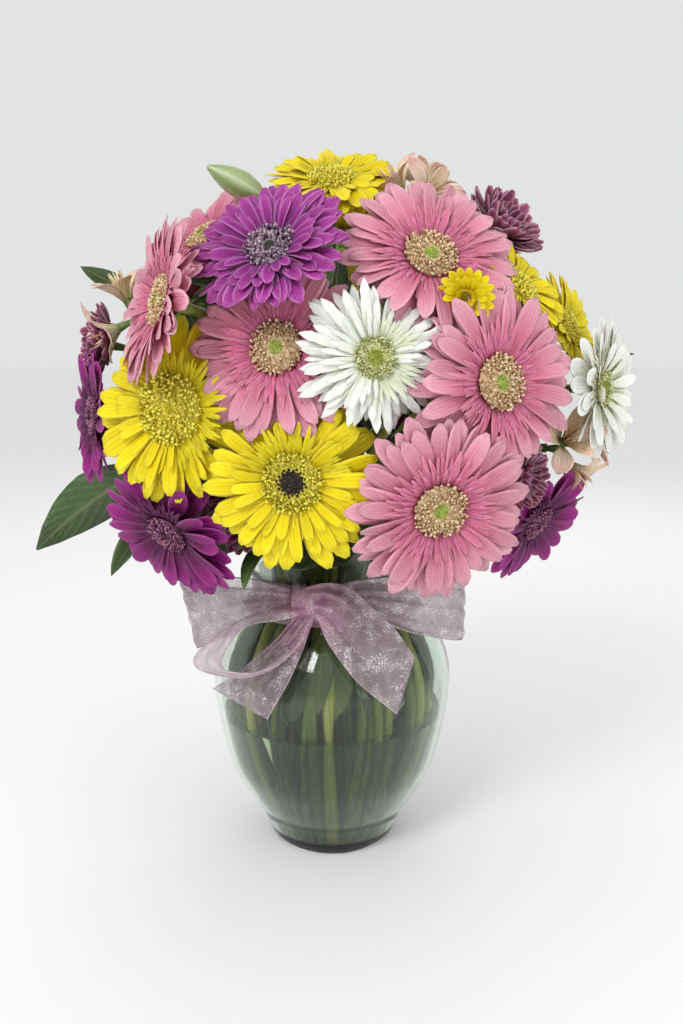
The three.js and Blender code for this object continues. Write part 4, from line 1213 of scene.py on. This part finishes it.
def makeFillers():
    pieces = []
    for i in range(fillers.count):
        azimuth = 2 * math.pi * (i + play(fillers.turn)) / fillers.count
        lean = play(fillers.lean)
        share = play(1)
        path = []
        for k, (radius, spread, height) in enumerate(fillers.rings):
            turn = azimuth + lean * k / len(fillers.rings)
            reach = radius + spread * share
            path.append(around(reach, turn, height) * mm)
        path = smoothPath(path)
        width = draw.uniform(*fillers.width) * mm
        pieces.append(makeTube("filler", path, [width] * len(path), stemSkin, draw.random()))
        outward = Vector((path[-1].x, path[-1].y, 0)).normalized()
        length = draw.uniform(*fillers.reach) * mm
        tip = path[-1] + outward * length - Vector((0, 0, fillers.fall * mm))
        matrix = leafMatrix(path[-1], tip, length * fillers.leafWidth, Vector((0, 0, -1)))
        pieces.append(placeBlade("leaf", matrix, leafSkin))
    return pieces


def makeDrownedLeaves():
    pieces = []
    for i in range(drowned.count):
        azimuth = 2 * math.pi * (i + play(drowned.turn)) / drowned.count
        outward = around(1, azimuth, 0)
        ends = []
        for radius, height in drowned.ends:
            spot = outward * radius * draw.uniform(*drowned.radius)
            uneven = play(drowned.height)
            ends.append((spot + Vector((0, 0, height + uneven))) * mm)
        width = drowned.width * mm * draw.uniform(*drowned.wide)
        pieces.append(placeBlade("leaf", leafMatrix(*ends, width, outward), drownedSkin))
    return pieces


def makeSprigs():
    low, high = (math.sin(math.radians(end)) for end in sprigs.elevations)
    pieces = []
    for i in range(sprigs.count):
        elevation = math.degrees(math.asin(low + (high - low) * (i + 0.5) / sprigs.count))
        azimuth = sprigs.turn * i
        tilt, swing = play(sprigs.tilt), play(sprigs.tilt)
        root = Vector(onDome(azimuth, elevation, sprigs.rootShare)) * mm
        tip = Vector(onDome(azimuth + swing, elevation + tilt, draw.uniform(*sprigs.tipShare))) * mm
        twist = play(sprigs.twist)
        faces = directionOf(azimuth + twist, elevation).orthogonal()
        matrix = leafMatrix(root, tip, draw.uniform(*sprigs.width) * mm, faces)
        pieces.append(placeBlade("leaf", matrix, leafSkin))
        pieces.append(makeStalk(root, root.lerp(tip, sprigs.stalkEnd), stalk.thin))
    return pieces


for leaf in leaves:
    stemPieces += makeLeaf(*leaf)
stemPieces += makeFillers() + makeDrownedLeaves() + makeSprigs()
stemPieces += calyxPieces
greens = joinPieces("stems_and_foliage", stemPieces)
settle(greens, "greens", "stems_and_leaves")
print("leaves made:", len(leaves) + fillers.count + drowned.count + sprigs.count)

# A closed flower bud at the top left, striped green and white

greenBud = Namespace(
    root=(-42, -48, 458), tip=(-77, -60, 475), sides=24, rings=14, width=0.44,
    grooveEvery=4, groove=0.86, grooveFrom=0.03, grooveWidth=0.05,
    profile=[(-1, 0.3), (-0.6, 0.8), (-0.2, 1), (0.3, 0.86), (0.7, 0.5), (1, 0.12)],
)


def makeGreenBud():
    root, tip = Vector(greenBud.root) * mm, Vector(greenBud.tip) * mm
    sides, rings, groove = greenBud.sides, greenBud.rings, greenBud.groove
    bpy.ops.mesh.primitive_uv_sphere_add(segments=sides, ring_count=rings, radius=1)
    made = takeShape("green_bud")
    heights, widths = zip(*greenBud.profile)
    startEdit(made)
    for ring in range(1, rings):
        height = -math.cos(math.pi * ring / rings)
        grow = greenBud.width * float(np.interp(height, heights, widths)) / math.sqrt(1 - height ** 2)
        resizeWhere(made, lambda co: abs(co.z - height) < 0.01, (grow, grow, 1), (0, 0, height))
    for side in range(0, sides, greenBud.grooveEvery):
        azimuth = 2 * math.pi * side / sides

        def isGroove(co):
            apart = math.sin((math.atan2(co.y, co.x) - azimuth) / 2)
            return co.xy.length > greenBud.grooveFrom and abs(apart) < greenBud.grooveWidth

        resizeWhere(made, isGroove, (groove, groove, 1), (0, 0, 0))
    endEdit(made)
    half = (tip - root).length / 2
    turn = (tip - root).to_track_quat("Z", "Y").to_matrix().to_4x4()
    made.data.transform(Matrix.Translation((root + tip) / 2) @ turn @ Matrix.Scale(half, 4))
    dress(made.data, budSkin)
    settle(made, "greens")


makeGreenBud()

# Vase: one glass body turned ring by ring, with a thick foot, and the water in it

vase = Namespace(
    sides=96, wall=4 * mm, base=9 * mm, foot=46 * mm, footEdge=(1 * mm, 0.6 * mm),
    lip=232 * mm, rim=[(0.2, 0.4), (0.5, 0.5), (0.8, 0.4)],  # steps over the lip, shares of the wall
    sharp=40, waterLevel=101 * mm, gap=0.3 * mm, aboveBase=1 * mm,
    outline=[(48.5, 6), (54.6, 21), (60.8, 30), (69, 44), (78, 63), (85.3, 97), (87.8, 118), (87, 136),
             (80, 155), (66, 176), (57.6, 188), (57, 194), (59.5, 208), (64, 221), (70, 232)],
)
outlinePath = smoothPath([(r * mm, 0, z * mm) for r, z in vase.outline])
outlineHeights = [spot.z for spot in outlinePath]
outlineRadii = [spot.x for spot in outlinePath]


def wallRadius(height):
    return float(np.interp(height, outlineHeights, outlineRadii))


def turnProfile(name, profile, sides, material):
    radius, height = profile[0]
    bpy.ops.mesh.primitive_circle_add(
        vertices=sides, radius=radius, fill_type="NGON", location=(0, 0, height))
    made = takeShape(name)
    startEdit(made)
    bpy.ops.mesh.select_all(action="SELECT")
    for (lastRadius, lastHeight), (radius, height) in zip(profile, profile[1:]):
        bpy.ops.mesh.extrude_region_move(TRANSFORM_OT_translate={"value": (0, 0, height - lastHeight)})
        grow = radius / lastRadius
        bpy.ops.transform.resize(value=(grow, grow, 1), center_override=(0, 0, height))
    endEdit(made, squareUp=True)
    made.data.materials.append(material)
    pick(made)
    bpy.ops.object.shade_smooth_by_angle(angle=math.radians(vase.sharp))
    made.select_set(False)
    return made


def makeVase():
    wall, base, lip = vase.wall, vase.base, vase.lip
    outer = [(spot.x, spot.z) for spot in outlinePath]
    inner = [(r - wall, z) for r, z in reversed(outer) if z > base + vase.aboveBase]
    rim = [(outer[-1][0] - wall * inwards, lip + wall * up) for inwards, up in vase.rim]
    floorInside = [(wallRadius(base) - wall, base)]
    bevel, height = vase.footEdge
    foot = [(vase.foot - bevel, 0), (vase.foot, height)]
    made = turnProfile("glass_vase", foot + outer + rim + inner + floorInside, vase.sides, glassSkin)
    settle(made, "glass", "vase")


def makeWater():
    gap, level = vase.gap, vase.waterLevel
    base = vase.base + gap
    heights = [z for z in outlineHeights if base + vase.aboveBase < z < level]
    profile = [(wallRadius(z) - vase.wall - gap, z) for z in [base, *heights, level]]
    made = turnProfile("vase_water", profile, vase.sides, waterSkin)
    settle(made, "water", "water")


makeVase()
makeWater()
print("vase and water made")

# Ribbon: a band round the neck, a knot, two loops, a front loop and two tails.
# Each strip is drawn by pairs of points, in mm, on its upper and its lower edge

ribbon = Namespace(
    thickness=0.4 * mm, width=68 * mm, clear=1.2 * mm, rows=9, columns=22,
    fold=2.2 * mm, folds=3.5, foldShare=0.09, fineFolds=1.7, fineShare=0.5, drift=2.2,
    ripple=(0.5, 14, 5), loopCalm=0.8,
    strips={
        "front_loop": [
            ((-20, -66, 196), (-14, -72, 192)), ((-47, -72, 192), (-30, -96, 194)),
            ((-74, -76, 178), (-52, -118, 196)), ((-91, -76, 160), (-64, -129, 181)),
            ((-84, -76, 150), (-63, -125, 169)), ((-58, -79, 148), (-42, -110, 163)),
            ((-30, -78, 166), (-22, -92, 172)), ((-15, -68, 190), (-12, -72, 189))],
        "left_tail": [
            ((-18, -68, 194), (-10, -72, 190)), ((-39, -78, 171), (-18, -84, 173)),
            ((-60, -76, 152), (-25, -94, 156)), ((-81, -64, 134), (-41, -98, 126))],
        "right_tail": [
            ((-24, -64, 203), (-12, -70, 190)), ((-4, -74, 211), (-10, -77, 186)),
            ((13, -83, 210), (-6, -84, 180)), ((27, -89, 198), (3, -92, 168)),
            ((42, -90, 184), (18, -99, 151)), ((55, -84, 163), (43, -97, 129))],
        "right_loop": [
            ((-12, -64, 201), (-10, -68, 195)), ((20, -72, 213), (22, -78, 192)),
            ((60, -68, 215), (62, -78, 178)), ((91, -48, 206), (90, -57, 168)),
            ((84, -34, 202), (84, -43, 162)), ((48, -44, 202), (50, -54, 172)),
            ((16, -62, 203), (14, -66, 190)), ((-10, -62, 201), (-9, -66, 194))],
        "left_loop": [
            ((-20, -64, 201), (-20, -69, 194)), ((-48, -76, 214), (-47, -82, 188)),
            ((-78, -70, 214), (-74, -78, 174)), ((-103, -52, 206), (-92, -61, 162)),
            ((-92, -36, 200), (-86, -46, 160)), ((-56, -46, 200), (-56, -54, 176)),
            ((-22, -61, 201), (-22, -65, 193))],
    },
    knot=Namespace(centre=(-13, -64, 194), size=(12, 10, 12), rows=36, columns=16, waist=0.22,
                   pleat=0.07, pleats=16, skew=2, lean=0.1),
    band=Namespace(low=178 * mm, high=204 * mm, rows=120, columns=8, width=30 * mm, clear=1.6 * mm,
                   fold=0.5 * mm, pleats=(12, 2), waves=(0.5, 5, 9)),
)


# A sheet of cloth as wide as its ribbon, drawn by rows of points
def layCloth(name, rows, closed=False):
    count = len(rows[0])
    mesh = bmesh.new()
    vertices = [[mesh.verts.new(spot) for spot in row] for row in rows]
    layer = mesh.loops.layers.uv.new("UVMap")
    spans = len(rows) if closed else len(rows) - 1
    for k in range(spans):
        nextRow = vertices[(k + 1) % len(rows)]
        for j in range(count - 1):
            face = mesh.faces.new((vertices[k][j], nextRow[j], nextRow[j + 1], vertices[k][j + 1]))
            corners = ((k, j), (k + 1, j), (k + 1, j + 1), (k, j + 1))
            for loop, (u, v) in zip(face.loops, corners):
                loop[layer].uv = (u / spans, v / (count - 1))
    data = bpy.data.meshes.new(name)
    mesh.to_mesh(data)
    area = sum(face.calc_area() for face in mesh.faces)
    mesh.free()
    made = addObject(name, data)
    applyModifier(made, "SOLIDIFY", thickness=ribbon.thickness, offset=0)
    dress(made.data, organzaSkin, draw.random())
    smooth(made)
    settle(made, "organza", "ribbon")


def outsideGlass(spot):
    clear = wallRadius(spot.z) + ribbon.clear
    if spot.z < vase.lip and spot.xy.length < clear:
        spot.xy = spot.xy.normalized() * clear
    return spot


def makeStrip(name, stations):
    upper, lower = (
        smoothPath([Vector(pair[edge]) * mm for pair in stations], ribbon.rows) for edge in (0, 1))
    phase = draw.uniform(*anyTurn)
    depthOfRipple, along, across = ribbon.ripple
    rows = []
    for k, (top, bottom) in enumerate(zip(upper, lower)):
        ahead = min(k + 1, len(upper) - 1)
        behind = max(k - 1, 0)
        travel = upper[ahead] + lower[ahead] - upper[behind] - lower[behind]
        outward = travel.cross(top - bottom).normalized()
        share = k / (len(upper) - 1)
        width = (top - bottom).length
        calm = share ** 2 if name.endswith("tail") else ribbon.loopCalm * math.sin(math.pi * share)
        depth = min(ribbon.fold, ribbon.foldShare * width) * (1 - calm)
        row = []
        for j in range(ribbon.columns + 1):
            side = j / ribbon.columns
            turn = 2 * math.pi * ribbon.folds * side
            fold = math.sin(turn + phase + ribbon.drift * share)
            fold += ribbon.fineShare * math.sin(ribbon.fineFolds * turn - phase)
            ripple = depthOfRipple * math.sin(along * share + across * side + phase)
            row.append(outsideGlass(top.lerp(bottom, side) + outward * depth * (fold + ripple)))
        rows.append(row)
    layCloth(name, rows)


# The knot and the band close on themselves: each of their points has an azimuth and a share of the width
def layRing(name, look, spotAt):
    turns = [2 * math.pi * k / look.rows for k in range(look.rows)]
    rows = [[spotAt(look, turn, j / look.columns) for j in range(look.columns + 1)] for turn in turns]
    layCloth(name, rows, closed=True)


def knotSpot(knot, azimuth, share):
    side = 2 * share - 1
    wide, deep, high = knot.size
    pleat = knot.pleat * math.sin(knot.pleats * side + knot.skew * math.sin(azimuth))
    pinch = 1 + knot.waist * side ** 2 + pleat
    x = wide * side * (1 + knot.lean * math.cos(azimuth))
    spot = Vector((x, -deep * pinch * math.cos(azimuth), high * pinch * math.sin(azimuth)))
    return (Vector(knot.centre) + spot) * mm


def bandSpot(band, azimuth, share):
    height = band.low + (band.high - band.low) * share
    pleats, swing = band.pleats
    depth, turns, lean = band.waves
    fold = math.sin(pleats * share + swing * math.sin(azimuth))
    fold += depth * math.sin(turns * azimuth + lean * share)
    return around(wallRadius(height) + band.clear + band.fold * fold, azimuth, height)


for name, stations in ribbon.strips.items():
    makeStrip("ribbon_" + name, stations)
layRing("ribbon_knot", ribbon.knot, knotSpot)
layRing("ribbon_band", ribbon.band, bandSpot)
print("ribbon made")

# The first blades and eye pieces were only patterns for the copies
patterns = [blade for kind in blades.values() for blade in kind]
for pattern in patterns + [bud, stamen, dome, crown, *eyes.values()]:
    bpy.data.objects.remove(pattern)

print("scene ready")
